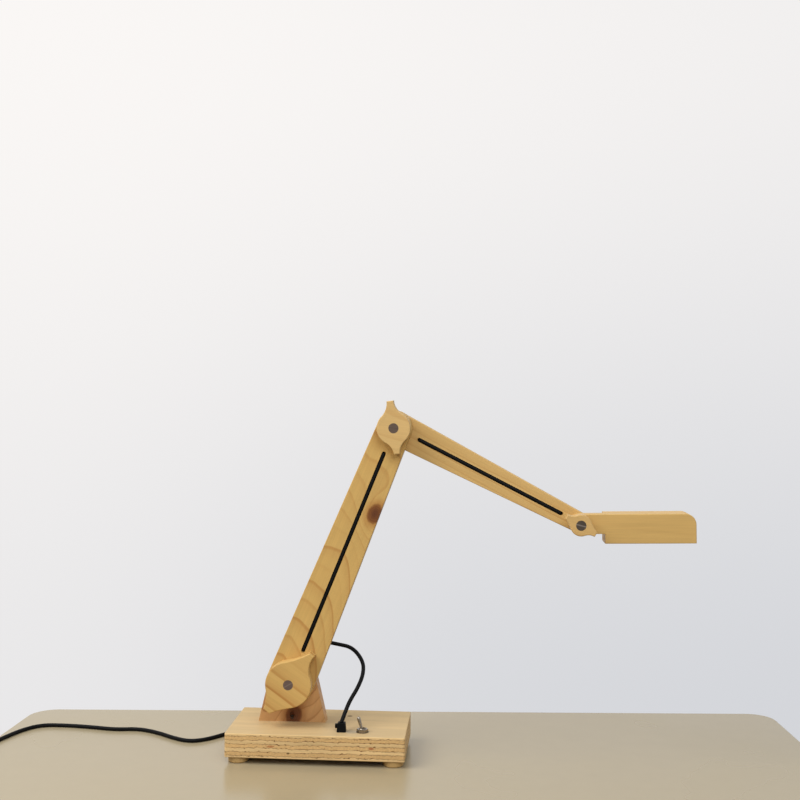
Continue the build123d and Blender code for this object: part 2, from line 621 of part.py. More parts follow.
def switch_bushing():
    """The threaded neck of the switch, hollow so that the lever can swing in it."""
    bottom = CAVITY_TOP
    top = BASE_TOP + BUSHING_RISE
    neck = upright((SWITCH_X, SWITCH_Y), BUSHING_DIAMETER / 2, bottom, top - bottom)
    neck = chamfer(neck.faces().sort_by(Axis.Z)[-1].edges(), 0.3)
    half_section = make_face(Polyline(
        (0, bottom), (BUSHING_BORE_RADIUS, bottom), (BUSHING_BORE_RADIUS, LEVER_PIVOT_Z),
        (BUSHING_MOUTH_RADIUS, top), (0, top), close=True))
    bore = revolve(Plane.XZ * half_section, axis=Axis.Z)
    return neck - Pos(SWITCH_X, SWITCH_Y, 0) * bore


def switch_washer():
    """A toothed lock washer."""
    ring = Circle(SWITCH_WASHER_DIAMETER / 2) - Circle(BUSHING_DIAMETER / 2 + RUNNING_CLEARANCE)
    notch = Pos(SWITCH_WASHER_DIAMETER / 2, 0) * Rectangle(1.6, 0.7)
    for turn in range(12):
        ring -= Rot(0, 0, turn * 30) * notch
    return Pos(SWITCH_X, SWITCH_Y, BASE_TOP) * extrude(ring, amount=SWITCH_WASHER_THICKNESS)


def switch_nut():
    bottom = BASE_TOP + SWITCH_WASHER_THICKNESS
    outline = RegularPolygon(SWITCH_NUT_ACROSS_FLATS / 2, 6, major_radius=False)
    outline -= Circle(BUSHING_DIAMETER / 2 + RUNNING_CLEARANCE)
    body = extrude(outline, amount=SWITCH_NUT_THICKNESS)
    corner = SWITCH_NUT_ACROSS_FLATS / 2 / cos(radians(30))
    cone = Pos(0, 0, SWITCH_NUT_THICKNESS / 2) * Cylinder(corner + 0.5, SWITCH_NUT_THICKNESS)
    cone = chamfer(cone.faces().sort_by(Axis.Z)[-1].edges(), 0.6, 0.9)
    return Pos(SWITCH_X, SWITCH_Y, bottom) * (body & cone)


def toggle_lever():
    """A bat lever: a ball on a pivot pin, a slim shank that thickens to a round tip, and a tail."""
    tip_radius = LEVER_TIP_DIAMETER / 2
    neck_radius = LEVER_NECK_DIAMETER / 2
    shank_top = LEVER_REACH - LEVER_PIVOT_RISE - tip_radius
    half = make_face([
        Line((0, -LEVER_TAIL), (neck_radius, -LEVER_TAIL)),
        Line((neck_radius, -LEVER_TAIL), (neck_radius, 0)),
        Line((neck_radius, 0), (tip_radius, shank_top)),
        ThreePointArc((tip_radius, shank_top), (tip_radius * cos(radians(45)), shank_top
                      + tip_radius * sin(radians(45))), (0, shank_top + tip_radius)),
        Line((0, shank_top + tip_radius), (0, -LEVER_TAIL)),
    ])
    lever = revolve(Plane.XZ * half, axis=Axis.Z) + Sphere(LEVER_BALL_RADIUS)
    lever += rod((0, 0), LEVER_PIN_RADIUS, -LEVER_PIN_LENGTH / 2, LEVER_PIN_LENGTH)
    return Pos(SWITCH_X, SWITCH_Y, LEVER_PIVOT_Z) * Rot(0, -LEVER_LEAN, 0) * lever


# ---------------------------------------------------------------- wiring in the base
JOINT_BLOCK = (12.0, 14.0, 7.0)
JOINT_BLOCK_Y = 44.0
JOINT_BLOCK_FRONT = JOINT_BLOCK_Y - JOINT_BLOCK[1] / 2
JOINT_BLOCK_BACK = JOINT_BLOCK_Y + JOINT_BLOCK[1] / 2
JOINT_BLOCK_X = BASE_LENGTH - 47.0
WAY_PITCH = 6.0
WAY_RADIUS = 1.7
BLOCK_SCREW_RADIUS = 1.4
BLOCK_SCREW_HEIGHT = 1.5
BLOCK_SCREW_SLOT = 0.5
LEAD_DIAMETER = 1.2
LEAD_END_GAP = 0.25
LEAD_RADIUS = LEAD_DIAMETER / 2
LEAD_Z = CAVITY_FLOOR + WAY_PITCH / 2
BLOCK_SCREW_DEPTH = 2.0
BLOCK_SCREW_SPREAD = 4.0
BLOCK_WAIST = (0.8, 2.0)
TAIL_BEND = 5.0


def block_screw_places():
    return [(JOINT_BLOCK_X + way * WAY_PITCH, JOINT_BLOCK_Y + side * BLOCK_SCREW_SPREAD)
            for way in (-0.5, 0.5) for side in (-1, 1)]


def joint_block():
    """A two-way screw terminal for the joint between the lead, the switch and the arm's cord."""
    z = (CAVITY_FLOOR, CAVITY_FLOOR + JOINT_BLOCK[2])
    x = (JOINT_BLOCK_X - JOINT_BLOCK[0] / 2, JOINT_BLOCK_X + JOINT_BLOCK[0] / 2)
    body = block(x, (JOINT_BLOCK_FRONT, JOINT_BLOCK_BACK), z)
    body = fillet(body.edges().filter_by(Axis.Y), 1.0)
    waist = (JOINT_BLOCK_Y - BLOCK_WAIST[1] / 2, JOINT_BLOCK_Y + BLOCK_WAIST[1] / 2)
    body -= block((x[0], x[0] + BLOCK_WAIST[0]), waist, z)
    body -= block((x[1] - BLOCK_WAIST[0], x[1]), waist, z)
    for place in block_screw_places():
        body -= upright(place, BLOCK_SCREW_RADIUS, z[1] - BLOCK_SCREW_DEPTH, BLOCK_SCREW_DEPTH)
    return body


def joint_block_screws():
    bottom = CAVITY_FLOOR + JOINT_BLOCK[2] - BLOCK_SCREW_DEPTH
    slot_z = (bottom + BLOCK_SCREW_HEIGHT - BLOCK_SCREW_SLOT, bottom + BLOCK_SCREW_HEIGHT)
    return [upright(place, BLOCK_SCREW_RADIUS, bottom, BLOCK_SCREW_HEIGHT)
            - block((place[0] - BLOCK_SCREW_SLOT / 2, place[0] + BLOCK_SCREW_SLOT / 2),
                    (place[1] - BLOCK_SCREW_RADIUS, place[1] + BLOCK_SCREW_RADIUS), slot_z)
            for place in block_screw_places()]


def base_tail():
    """The arm's cord inside the base, from its grip down to the joint block."""
    x = JOINT_BLOCK_X - WAY_PITCH / 2
    route = [(RELIEF_X, RELIEF_Y, BASE_TOP + RELIEF_HEIGHT), (RELIEF_X, RELIEF_Y, LEAD_Z + 1.0),
             (x, JOINT_BLOCK_FRONT, LEAD_Z + 1.0)]
    return sweep_cord(route, TAIL_BEND)


def supply_tail():
    """The lead inside the base, from its bush to the joint block."""
    return rod((EXIT_X, EXIT_Z), CORD_RADIUS, JOINT_BLOCK_BACK,
               BASE_DEPTH + GROMMET_LENGTH - JOINT_BLOCK_BACK)


def terminal_places():
    return [SWITCH_X + step * TERMINAL_PITCH for step in (-1, 0, 1)]


def switch_terminals():
    bottom = CAVITY_TOP - SWITCH_BODY[2] - TERMINAL_LENGTH
    half = (TERMINAL_WIDTH / 2, TERMINAL_THICKNESS / 2)
    return [block((x - half[0], x + half[0]), (SWITCH_Y - half[1], SWITCH_Y + half[1]),
                  (bottom, bottom + TERMINAL_LENGTH)) for x in terminal_places()]


def switch_leads():
    """Two thin leads from the joint block to the switch."""
    z = CAVITY_TOP - SWITCH_BODY[2] - TERMINAL_LENGTH + LEAD_RADIUS
    leads = []
    for terminal, offset in zip(terminal_places()[:2], (0.2, 3.4)):
        start = Vector(terminal, SWITCH_Y + TERMINAL_THICKNESS / 2 + LEAD_END_GAP, z)
        end = Vector(JOINT_BLOCK_X + offset + 1.0, JOINT_BLOCK_FRONT - LEAD_END_GAP, z)
        leads.append(extrude(Plane(origin=start, z_dir=end - start) * Circle(LEAD_RADIUS),
                             amount=(end - start).length))
    return leads


# ---------------------------------------------------------------- head, drawn level and then tilted
HEAD_AXIS = Axis((HEAD_PIVOT[0], 0, HEAD_PIVOT[1]), (0, -1, 0))


def tilt_head(piece):
    """Turns a piece of the level head, or each of a list of them, about the head's pivot."""
    if isinstance(piece, list):
        return [tilt_head(each) for each in piece]
    return piece.rotate(HEAD_AXIS, HEAD_TILT)


def head_outline(left):
    """The head's side view from a shoulder to its nose, whose upper corner is well rounded."""
    width = HEAD_LENGTH - left
    height = HEAD_TAB_RADIUS + HEAD_BELOW_PIVOT
    side = Pos(left + width / 2, HEAD_TAB_RADIUS - height / 2) * Rectangle(width, height)
    corner = side.vertices().sort_by(Axis.X)[-2:].sort_by(Axis.Y)[-1]
    return fillet(corner, HEAD_NOSE_RADIUS)


def light_recess():
    """The space for the lights, open below, with a ledge for the diffuser."""
    bottom = HEAD_PIVOT[1] - HEAD_BELOW_PIVOT
    x = (HEAD_PIVOT[0] + LIGHT_START, HEAD_PIVOT[0] + LIGHT_END)
    y = (ARM_FRONT + LIGHT_WALL, ARM_BACK - LIGHT_WALL)
    deep = block(x, y, (bottom, HEAD_PIVOT[1] + LIGHT_CEILING))
    wide = block((x[0] - DIFFUSER_LEDGE, x[1] + DIFFUSER_LEDGE),
                 (y[0] - DIFFUSER_LEDGE, y[1] + DIFFUSER_LEDGE), (bottom, bottom + DIFFUSER_THICKNESS))
    return deep + wide


def head_front():
    """The front cheek, whose tab laps the end of the upper arm."""
    height = 2 * HEAD_TAB_RADIUS
    tab = Circle(HEAD_TAB_RADIUS) + Pos(HEAD_SHOULDER / 2, 0) * Rectangle(HEAD_SHOULDER, height)
    outline = tab + head_outline(HEAD_SHOULDER)
    cheek = slab(Pos(*HEAD_PIVOT) * outline, ARM_FRONT, ARM_THICKNESS)
    cheek = fillet(cheek.faces().sort_by(Axis.Y)[0].edges(), SOFT_EDGE)
    return cheek - stud_bore(HEAD_PIVOT, ARM_FRONT) - light_recess()


def head_back():
    """The back cheek, glued to the front one from the shoulder to the nose."""
    cheek = slab(Pos(*HEAD_PIVOT) * head_outline(HEAD_SHOULDER), JOINT_FACE, ARM_THICKNESS)
    cheek = fillet(cheek.faces().sort_by(Axis.Y)[-1].edges(), SOFT_EDGE)
    return cheek - light_recess() - rod(HEAD_HOLE, CHANNEL_RADIUS, JOINT_FACE, ARM_THICKNESS)


def diffuser():
    x = (HEAD_PIVOT[0] + LIGHT_START - DIFFUSER_LEDGE, HEAD_PIVOT[0] + LIGHT_END + DIFFUSER_LEDGE)
    y = (ARM_FRONT + LIGHT_WALL - DIFFUSER_LEDGE, ARM_BACK - LIGHT_WALL + DIFFUSER_LEDGE)
    bottom = HEAD_PIVOT[1] - HEAD_BELOW_PIVOT
    return block(x, y, (bottom, bottom + DIFFUSER_THICKNESS))


LIGHT_CENTRE_X = HEAD_PIVOT[0] + (LIGHT_START + LIGHT_END) / 2 + 3.0
LED_BOARD_BOTTOM = HEAD_PIVOT[1] + LIGHT_CEILING - LED_BOARD_THICKNESS
BOARD_SCREW_RADIUS = 0.8
BOARD_SCREW_HEAD_RADIUS = 1.6


def board_screw_places():
    """Halfway between the end chip and the next one, at both ends of the row."""
    spread = (LED_COUNT / 2 - 1) * LED_PITCH
    return [(LIGHT_CENTRE_X + side * spread, JOINT_FACE) for side in (-1, 1)]


def led_board():
    half = (LED_BOARD_LENGTH / 2, LED_BOARD_WIDTH / 2)
    board = block((LIGHT_CENTRE_X - half[0], LIGHT_CENTRE_X + half[0]),
                  (JOINT_FACE - half[1], JOINT_FACE + half[1]),
                  (LED_BOARD_BOTTOM, LED_BOARD_BOTTOM + LED_BOARD_THICKNESS))
    for place in board_screw_places():
        board -= upright(place, BOARD_SCREW_RADIUS, LED_BOARD_BOTTOM, LED_BOARD_THICKNESS)
    return board


def led_chips():
    chips = []
    for number in range(LED_COUNT):
        x = LIGHT_CENTRE_X + (number - (LED_COUNT - 1) / 2) * LED_PITCH
        chips.append(Pos(x, JOINT_FACE, LED_BOARD_BOTTOM - LED_SIZE[2] / 2) * Box(*LED_SIZE))
    return chips


def board_screws():
    """Two small pan-head screws that hold the light board to the ceiling of its recess."""
    return [upright(place, BOARD_SCREW_HEAD_RADIUS, LED_BOARD_BOTTOM - 1.0, 1.0)
            + upright(place, BOARD_SCREW_RADIUS, LED_BOARD_BOTTOM, LED_BOARD_THICKNESS)
            for place in board_screw_places()]


def head_tail():
    """The cord's end inside the head."""
    depth = ARM_BACK - JOINT_FACE - LIGHT_WALL
    return rod(HEAD_HOLE, CORD_RADIUS, ARM_BACK - LIGHT_WALL - depth / 2, LIGHT_WALL + depth / 2)


def head_leads():
    """The cord's two cores, which run on to the light board."""
    leads = []
    inner = ARM_BACK - LIGHT_WALL - (ARM_BACK - JOINT_FACE - LIGHT_WALL) / 2
    board_end = LIGHT_CENTRE_X - LED_BOARD_LENGTH / 2
    for side in (-1, 1):
        start = Vector(HEAD_HOLE[0] + side * LEAD_RADIUS, inner, HEAD_HOLE[1])
        end = Vector(board_end + 2.0, JOINT_FACE + side * LEAD_DIAMETER, LED_BOARD_BOTTOM - LEAD_RADIUS)
        bend = Vector(start.X, end.Y, start.Z)
        leads.append((start, bend, end))
    return [sweep(Plane(origin=a, z_dir=b - a) * Circle(LEAD_RADIUS),
                  path=FilletPolyline(a, b, c, radius=LEAD_DIAMETER)) for a, b, c in leads]


# ---------------------------------------------------------------- supply lead
def supply_coil():
    """The outer shape of the coil that the spare lead is wound into."""
    width = COIL_STRANDS_WIDE * CORD_DIAMETER
    height = COIL_STRANDS_HIGH * CORD_DIAMETER
    section = Pos(COIL_MEAN_RADIUS, height / 2) * RectangleRounded(width, height, CORD_RADIUS)
    return Pos(*COIL_CENTRE, 0) * revolve(Plane.XZ * section, axis=Axis.Z)


def plug_grip():
    """The moulded grip of the plug, waisted for the fingers and tapered round the lead."""
    start = Plane(origin=PLUG_START, x_dir=(1, 0, 0), z_dir=(0, 1, 0))
    width, length, height = PLUG_GRIP
    sections = [(0.0, 5.2, 5.2), (5.0, 6.2, 5.6), (7.0, width - 1, height - 1), (9.0, width, height),
                (length, width, height)]
    return loft([start.offset(y) * RectangleRounded(w, h, min(w, h) / 2 - 0.9) for y, w, h in sections],
                ruled=True)


def plug_shell():
    """The plug's metal shell with its two square windows, and its tongue inside."""
    width, length, height = PLUG_SHELL
    front = PLUG_START_Y + PLUG_GRIP[1]
    middle = front + length / 2
    wall = PLUG_SHELL_WALL
    shell = Pos(PLUG_X, middle, PLUG_Z) * Box(width, length, height)
    shell -= Pos(PLUG_X, middle + wall, PLUG_Z) * Box(width - 2 * wall, length, height - 2 * wall)
    for side in (-1, 1):
        window = Box(PLUG_WINDOW, PLUG_WINDOW, 4 * wall)
        shell -= Pos(PLUG_X + side * width / 4, middle, PLUG_Z + height / 2) * window
    return shell


def plug_tongue():
    width, length, height = PLUG_SHELL
    front = PLUG_START_Y + PLUG_GRIP[1] + PLUG_SHELL_WALL
    depth = length - 2 * PLUG_SHELL_WALL
    top = PLUG_Z + height / 2 - PLUG_SHELL_WALL
    tongue = Box(width - 2 * PLUG_SHELL_WALL, depth, PLUG_TONGUE_THICKNESS)
    return Pos(PLUG_X, front + depth / 2, top - PLUG_TONGUE_THICKNESS / 2) * tongue


# ---------------------------------------------------------------- assembly
def lamp():
    nodes = {
        "base_board": base_board(),
        "cavity_cover": cavity_cover(),
        "pivot_bracket": pivot_bracket(),
        "toe_screw": toe_screw(),
        "strain_relief": strain_relief(),
        "back_grommet": back_grommet(),
        "switch_body": switch_body(),
        "switch_terminals": switch_terminals(),
        "switch_bushing": switch_bushing(),
        "switch_washer": switch_washer(),
        "switch_nut": switch_nut(),
        "toggle_lever": toggle_lever(),
        "joint_block": joint_block(),
        "joint_block_screws": joint_block_screws(),
        "switch_leads": switch_leads(),
        "arm_cord_tail": base_tail(),
        "supply_cord_tail": supply_tail(),
        "lower_arm": lower_arm(),
        "lower_arm_cord": inlaid_cord(*LOWER_PLACE, LOWER_GROOVE, ARM_FRONT),
        "upper_arm": upper_arm(),
        "upper_arm_cord": inlaid_cord(*UPPER_PLACE, UPPER_GROOVE, JOINT_FACE),
        "base_knob": wing_knob(BASE_PIVOT, BASE_KNOB_RADIUS, BASE_KNOB_WINGS),
        "elbow_knob": wing_knob(ELBOW_PIVOT, ELBOW_KNOB_RADIUS, ELBOW_KNOB_WINGS),
        "head_knob": wing_knob(HEAD_PIVOT, HEAD_KNOB_RADIUS, HEAD_KNOB_WINGS),
        "head_front": tilt_head(head_front()),
        "head_back": tilt_head(head_back()),
        "led_board": tilt_head(led_board()),
        "led_chips": tilt_head(led_chips()),
        "led_board_screws": tilt_head(board_screws()),
        "diffuser": tilt_head(diffuser()),
        "head_cord_tail": tilt_head(head_tail()),
        "head_leads": tilt_head(head_leads()),
        "base_cord_loop": free_cord("base_cord_loop", BASE_LOOP_ROUTE),
        "elbow_cord_loop": free_cord("elbow_cord_loop", ELBOW_LOOP_ROUTE),
        "head_cord_loop": free_cord("head_cord_loop", HEAD_LOOP_ROUTE),
        "supply_cord": free_cord("supply_cord", SUPPLY_ROUTE),
        "supply_cord_coil": supply_coil(),
        "plug_cord": free_cord("plug_cord", PLUG_TAIL_ROUTE),
        "plug_grip": plug_grip(),
        "plug_shell": plug_shell(),
        "plug_tongue": plug_tongue(),
    }
    for name, centre in foot_centres():
        nodes[name] = foot(centre)
    for name, pivot, turn in (("base", BASE_PIVOT, 0), ("elbow", ELBOW_PIVOT, UPPER_ARM_TURN),
                              ("head", HEAD_PIVOT, UPPER_ARM_TURN)):
        nodes[f"{name}_stud"] = stud(pivot)
        nodes[f"{name}_nut"] = nut(pivot, turn)
    nodes["bracket_screws"] = [
        wood_screw(place, FOOT_HEIGHT + BRACKET_SCREW_SINK, BRACKET_SCREW_RADIUS,
                   BRACKET_SCREW_HEAD_RADIUS, BRACKET_SCREW_LENGTH) for place in bracket_screw_places()]
    nodes["cover_screws"] = [
        wood_screw(place, FOOT_HEIGHT, COVER_SCREW_RADIUS, COVER_SCREW_HEAD_RADIUS,
                   COVER_SCREW_LENGTH) for place in cover_screw_places()]
    return nodes


def export(nodes):
    os.makedirs("parts", exist_ok=True)
    for name, shape in nodes.items():
        solids = shape if isinstance(shape, list) else [shape]
        solids = [solid for piece in solids for solid in piece.solids()]
        moved = [Pos(-ORIGIN) * solid for solid in solids]
        export_step(moved[0] if len(moved) == 1 else Compound(children=moved), f"parts/{name}.step")


export(lamp())
for label, pivot in (("base", BASE_PIVOT), ("elbow", ELBOW_PIVOT), ("head", HEAD_PIVOT)):
    print(f"{label} pivot at X {pivot[0] - ORIGIN.X:.4f}, Z {pivot[1]:.4f}")
print(f"origin at X {ORIGIN.X:.4f}, Y {ORIGIN.Y:.4f} of the modelling frame")
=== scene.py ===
# %% [markdown]
# # A wooden swing-arm desk lamp
#
# The lamp's solids are loaded as a fixed frame, in metres. This lesson dresses them: it sets the
# camera, lays the cords, finishes the wood, steel and plastic, and lights the result softly.

# %% Load the solids
from math import cos, pi, radians, sin

import bmesh
import bpy
from mathutils import Matrix, Vector


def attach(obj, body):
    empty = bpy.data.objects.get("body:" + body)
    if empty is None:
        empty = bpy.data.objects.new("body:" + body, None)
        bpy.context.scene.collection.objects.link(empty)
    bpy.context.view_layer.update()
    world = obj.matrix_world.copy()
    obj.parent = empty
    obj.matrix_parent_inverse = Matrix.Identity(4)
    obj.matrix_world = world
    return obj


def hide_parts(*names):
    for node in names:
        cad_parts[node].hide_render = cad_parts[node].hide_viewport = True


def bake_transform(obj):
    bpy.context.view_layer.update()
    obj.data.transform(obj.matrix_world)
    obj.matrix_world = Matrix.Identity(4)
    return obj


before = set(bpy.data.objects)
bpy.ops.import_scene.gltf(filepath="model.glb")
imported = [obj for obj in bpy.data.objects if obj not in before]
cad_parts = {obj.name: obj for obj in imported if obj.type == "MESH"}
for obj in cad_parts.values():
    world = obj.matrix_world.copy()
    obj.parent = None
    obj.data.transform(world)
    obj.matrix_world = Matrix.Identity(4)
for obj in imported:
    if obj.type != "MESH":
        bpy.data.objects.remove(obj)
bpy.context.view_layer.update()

# %% [markdown]
# ## One way of giving places
#
# A maker measures the lamp in millimetres from the base's front left corner at the table. The
# frame is in metres from the middle of the lamp. Every place below could be written in metres at
# once, but then no ruler would find it. One small function turns the first into the second.

# %% Places on the lamp
CORNER = Vector((184.2336, 41.5, 0.0))


def at(x, y, z):
    """A place in millimetres from the base's front left corner, as metres in the lamp's frame."""
    return (Vector((x, y, z)) - CORNER) / 1000


print("base's front left corner:", tuple(round(v, 4) for v in at(0, 0, 0)))

# %% [markdown]
# ## The camera
#
# A normal lens stands a little above the elbow and looks level, turned slightly to the left. Three
# stacked angles would do it too, but their order is easy to get wrong. Here the camera's own
# right, up and back directions are worked out and become the columns of its matrix.

# %% Camera
CAMERA_PLACE = at(198.0, -884.0, 288.4)
CAMERA_LENS = 51.41
CAMERA_TURN, CAMERA_NOD, CAMERA_TILT = radians(-4.005), radians(-0.125), radians(-0.46)
CAMERA_NEAR, CAMERA_FAR = 0.05, 20


def show(obj):
    """Links an object to the scene and returns it."""
    bpy.context.scene.collection.objects.link(obj)
    return obj


def camera_axes(turn, nod, tilt):
    """The camera's right, up and back directions."""
    ahead = Vector((sin(turn) * cos(nod), cos(turn) * cos(nod), sin(nod)))
    level = Vector((cos(turn), -sin(turn), 0))
    up = level.cross(ahead)
    return level * cos(tilt) - up * sin(tilt), up * cos(tilt) + level * sin(tilt), -ahead


camera = show(bpy.data.objects.new("camera", bpy.data.cameras.new("camera")))
camera.data.lens = CAMERA_LENS
camera.data.clip_start, camera.data.clip_end = CAMERA_NEAR, CAMERA_FAR
pose = Matrix(camera_axes(CAMERA_TURN, CAMERA_NOD, CAMERA_TILT)).transposed().to_4x4()
pose.translation = CAMERA_PLACE
camera.matrix_world = pose
bpy.context.scene.camera = camera
print("camera stands at", tuple(round(v, 3) for v in CAMERA_PLACE))

# %% [markdown]
# ## The cords
#
# The lamp has one thin black cable. It is let into the arms, hangs in a free loop at the back of
# each pivot, and leaves the base for the plug. A tube of straight runs and arcs would look like
# bent wire, because a cable under its own weight has no corners. So each free length is one smooth
# NURBS line, drawn towards a few given points, with a round section swept along it.

# %% One smooth line of cable
CORD_DIAMETER = 0.0032
UNIT_SECTION = 1.0


def cord_line(name, points, section=0.0):
    """A curve of one smooth spline that follows the points, with a round section if one is given.

    Each point's radius scales the section, so a unit section gives the cable's own thickness."""
    curve = bpy.data.curves.new(name, "CURVE")
    curve.dimensions = "3D"
    curve.resolution_u = 10
    curve.bevel_depth = section
    curve.bevel_resolution = 6
    curve.use_fill_caps = True
    spline = curve.splines.new("NURBS")
    spline.points.add(len(points) - 1)
    for point, place in zip(spline.points, points):
        point.co = (*place, 1.0)
        point.radius = CORD_DIAMETER / 2
    spline.order_u = 3
    spline.use_endpoint_u = True
    return show(bpy.data.objects.new(name, curve))


def from_place(start, steps):
    """The places at the given steps, in millimetres, from a start."""
    return [at(*(a + b for a, b in zip(start, step))) for step in steps]


print("cable:", round(CORD_DIAMETER * 1000, 1), "mm thick")

# %% [markdown]
# ## The supply lead and its coil
#
# The lead comes out of the base's back edge, droops to the table and wanders off to the left. The
# length that isn't needed is wound into a neat coil, four strands wide and three high. A plain
# helix would run through itself where the layers change. So each turn keeps to its own place in
# the stack and steps over to the next place once a turn. The steps are spread round the coil, so
# no strand meets its neighbour, and the coil is part of the lead's own spline.

# %% Coil
COIL_MIDDLE = (-226.8, 14.0, 1.6)
COIL_RADIUS = 18.0
TURN_POINTS = 16
LAST_TURN_PART = 0.25
STRAND = CORD_DIAMETER * 1000  # in millimetres, as every step is
# each turn's place in the stack: strands inwards, and layers up
STACK = [(0, 0), (1, 0), (2, 0), (3, 0), (3, 1), (3, 2), (2, 2), (2, 1), (1, 1), (1, 2), (0, 2),
         (0, 1)]
STACK_MIDDLE = 1.5
# where in a turn the strand steps over, how far back each next step lies, and how long it takes
STEP_OVER, STEP_BACK, STEP_LENGTH = 0.84, 0.075, 0.07


def coil_steps():
    """Steps from the coil's middle, clockwise seen from above, from its east to its south side."""
    # the line cuts inside its points' corners, so they stand a little further out than the strand
    swell = 1 / cos(pi / TURN_POINTS) ** 0.5
    steps = []
    turns = len(STACK) - 1 + LAST_TURN_PART
    for count in range(round(turns * TURN_POINTS) + 1):
        turn, part = divmod(count, TURN_POINTS)
        part /= TURN_POINTS
        here = STACK[turn]
        there = STACK[min(turn + 1, len(STACK) - 1)]
        crossing = STEP_OVER - turn * STEP_BACK
        share = min(max((part - crossing) / STEP_LENGTH + 0.5, 0), 1)
        across = here[0] + (there[0] - here[0]) * share
        layer = here[1] + (there[1] - here[1]) * share
        radius = (COIL_RADIUS + (STACK_MIDDLE - across) * STRAND) * swell
        steps.append((radius * cos(2 * pi * part), -radius * sin(2 * pi * part), layer * STRAND))
    return steps


print("coil:", len(coil_steps()), "points")

# %% Supply lead
LEAD_EXIT = (92.0, 83.0, 13.0)
PLUG_END = (-257.7, 10.0, 4.0)
lead_points = [
    *from_place(LEAD_EXIT, [(0, 0, 0), (0, 11, 0), (-3, 23, -5.4), (-14.5, 33, -10.6)]),
    *from_place((0, 76, 1.6), [
        (58, 43.5, 0), (36, 39.5, 0), (14, 28, 0), (-2.5, 12.5, 0), (-16.5, -5, 0), (-27.5, -20, 0),
        (-40, -26.5, 0), (-54, -20, 0), (-73, -5, 0), (-92.5, 4.5, 0), (-112, 0.5, 0),
        (-134, 5.5, 0), (-158, 8.5, 0), (-179.5, 7.5, 0)]),
    *from_place(COIL_MIDDLE, [(36.3, 53, 0), (30.8, 33, 0), (26.3, 15, 0)]),
    *from_place(COIL_MIDDLE, coil_steps()),
    *from_place(COIL_MIDDLE, [(-9.2, -24.2, 1.6), (-20.2, -24, 0.2)]),
    *from_place(PLUG_END, [(2.7, -15.5, -1.4), (0, -8.5, 0), (0, 0, 0)]),
]
supply_lead = cord_line("supply_lead", lead_points, UNIT_SECTION)
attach(supply_lead, "base")
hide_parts("supply_cord", "supply_cord_coil", "plug_cord")
print("supply lead:", len(lead_points), "points")

# %% [markdown]
# ## The three loops
#
# At each pivot the cable leaves one arm's back and enters the next. A curve can ride on only one
# arm, so each loop's spline is made a mesh.

# %% Where the cable enters and leaves
BASE_PIVOT, ELBOW_PIVOT, HEAD_PIVOT = (47.5984, 59.0), (130.0287, 264.0518), (277.6624, 189.4767)
LOWER_LEAN, UPPER_LEAN = 21.9, 116.8
BRACKET_FRONT, ARM_BACK = 37.0, 49.0
HEAD_HOLE_ACROSS, HEAD_HOLE_DROP = 30.098, 4.371


def on_arm(pivot, lean, distance, depth):
    """A place on an arm's middle line, at a distance from the pivot that the arm starts at."""
    across, up = pivot
    return (across + distance * sin(radians(lean)), depth, up + distance * cos(radians(lean)))


LOWER_HOLE = on_arm(BASE_PIVOT, LOWER_LEAN, distance=27.4, depth=BRACKET_FRONT)
ELBOW_HOLE = on_arm(BASE_PIVOT, LOWER_LEAN, distance=199.0, depth=BRACKET_FRONT)
UPPER_HOLE = on_arm(ELBOW_PIVOT, UPPER_LEAN, distance=21.4, depth=ARM_BACK)
WRIST_HOLE = on_arm(ELBOW_PIVOT, UPPER_LEAN, distance=149.7, depth=ARM_BACK)
HEAD_HOLE = (HEAD_PIVOT[0] + HEAD_HOLE_ACROSS, ARM_BACK, HEAD_PIVOT[1] - HEAD_HOLE_DROP)
RELIEF_TOP = (90.8, 14.0, 31.2)  # where the loop goes into the cord grip on the base
print("lower hole:", tuple(round(v, 1) for v in LOWER_HOLE))

# %% Routes of the loops
BASE_LOOP = [
    *from_place(LOWER_HOLE, [(0, 0, 0), (0, 9, 0), (6, 17, 0.2), (14, 20.5, 0.8),
                             (23.9, 19, -0.6), (37.2, 14, -1.9)]),
    *from_place(RELIEF_TOP, [(13.5, 32, 41.5), (14.5, 27, 32.7), (11.3, 18.5, 23.7),
                             (5.2, 9.5, 14.3), (2.2, 2.6, 6.4), (0, 0, 0)]),
]
ELBOW_LOOP = [
    *from_place(ELBOW_HOLE, [(0, 0, 0), (0, 12, 0)]),
    *from_place((ELBOW_PIVOT[0], ARM_BACK, ELBOW_PIVOT[1]),
                [(-3.9, 12.5, -21), (4.9, 21, -18), (15.2, 19, -13.6)]),
    *from_place(UPPER_HOLE, [(0, 10.5, 0), (0, 0, 0)]),
]
HEAD_LOOP = [
    *from_place(WRIST_HOLE, [(0, 0, 0), (0, 11, 0)]),
    *from_place((HEAD_PIVOT[0], ARM_BACK, HEAD_PIVOT[1]),
                [(-8.4, 20.5, 4.1), (2.2, 24, 0.5), (13.8, 24, -2.6), (23.9, 20.5, -4.7)]),
    *from_place(HEAD_HOLE, [(0, 11, 0), (0, 0, 0)]),
]
print("loops:", len(BASE_LOOP), len(ELBOW_LOOP), len(HEAD_LOOP), "points")


# %% Loops at the pivots
def cord_loop(name, node, points):
    """A loop of cable as a mesh tube, in place of the frame's own loop, which is hidden."""
    line = cord_line(name + "_line", points)
    path = [v.co.copy() for v in bpy.data.meshes.new_from_object(line).vertices]
    line.data.bevel_depth = UNIT_SECTION
    tube = show(bpy.data.objects.new(name, bpy.data.meshes.new_from_object(line)))
    tube.data.polygons.foreach_set("use_smooth", [True] * len(tube.data.polygons))
    bpy.data.objects.remove(line)
    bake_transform(tube)
    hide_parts(node)
    print(name, len(path), "path points")
    return tube


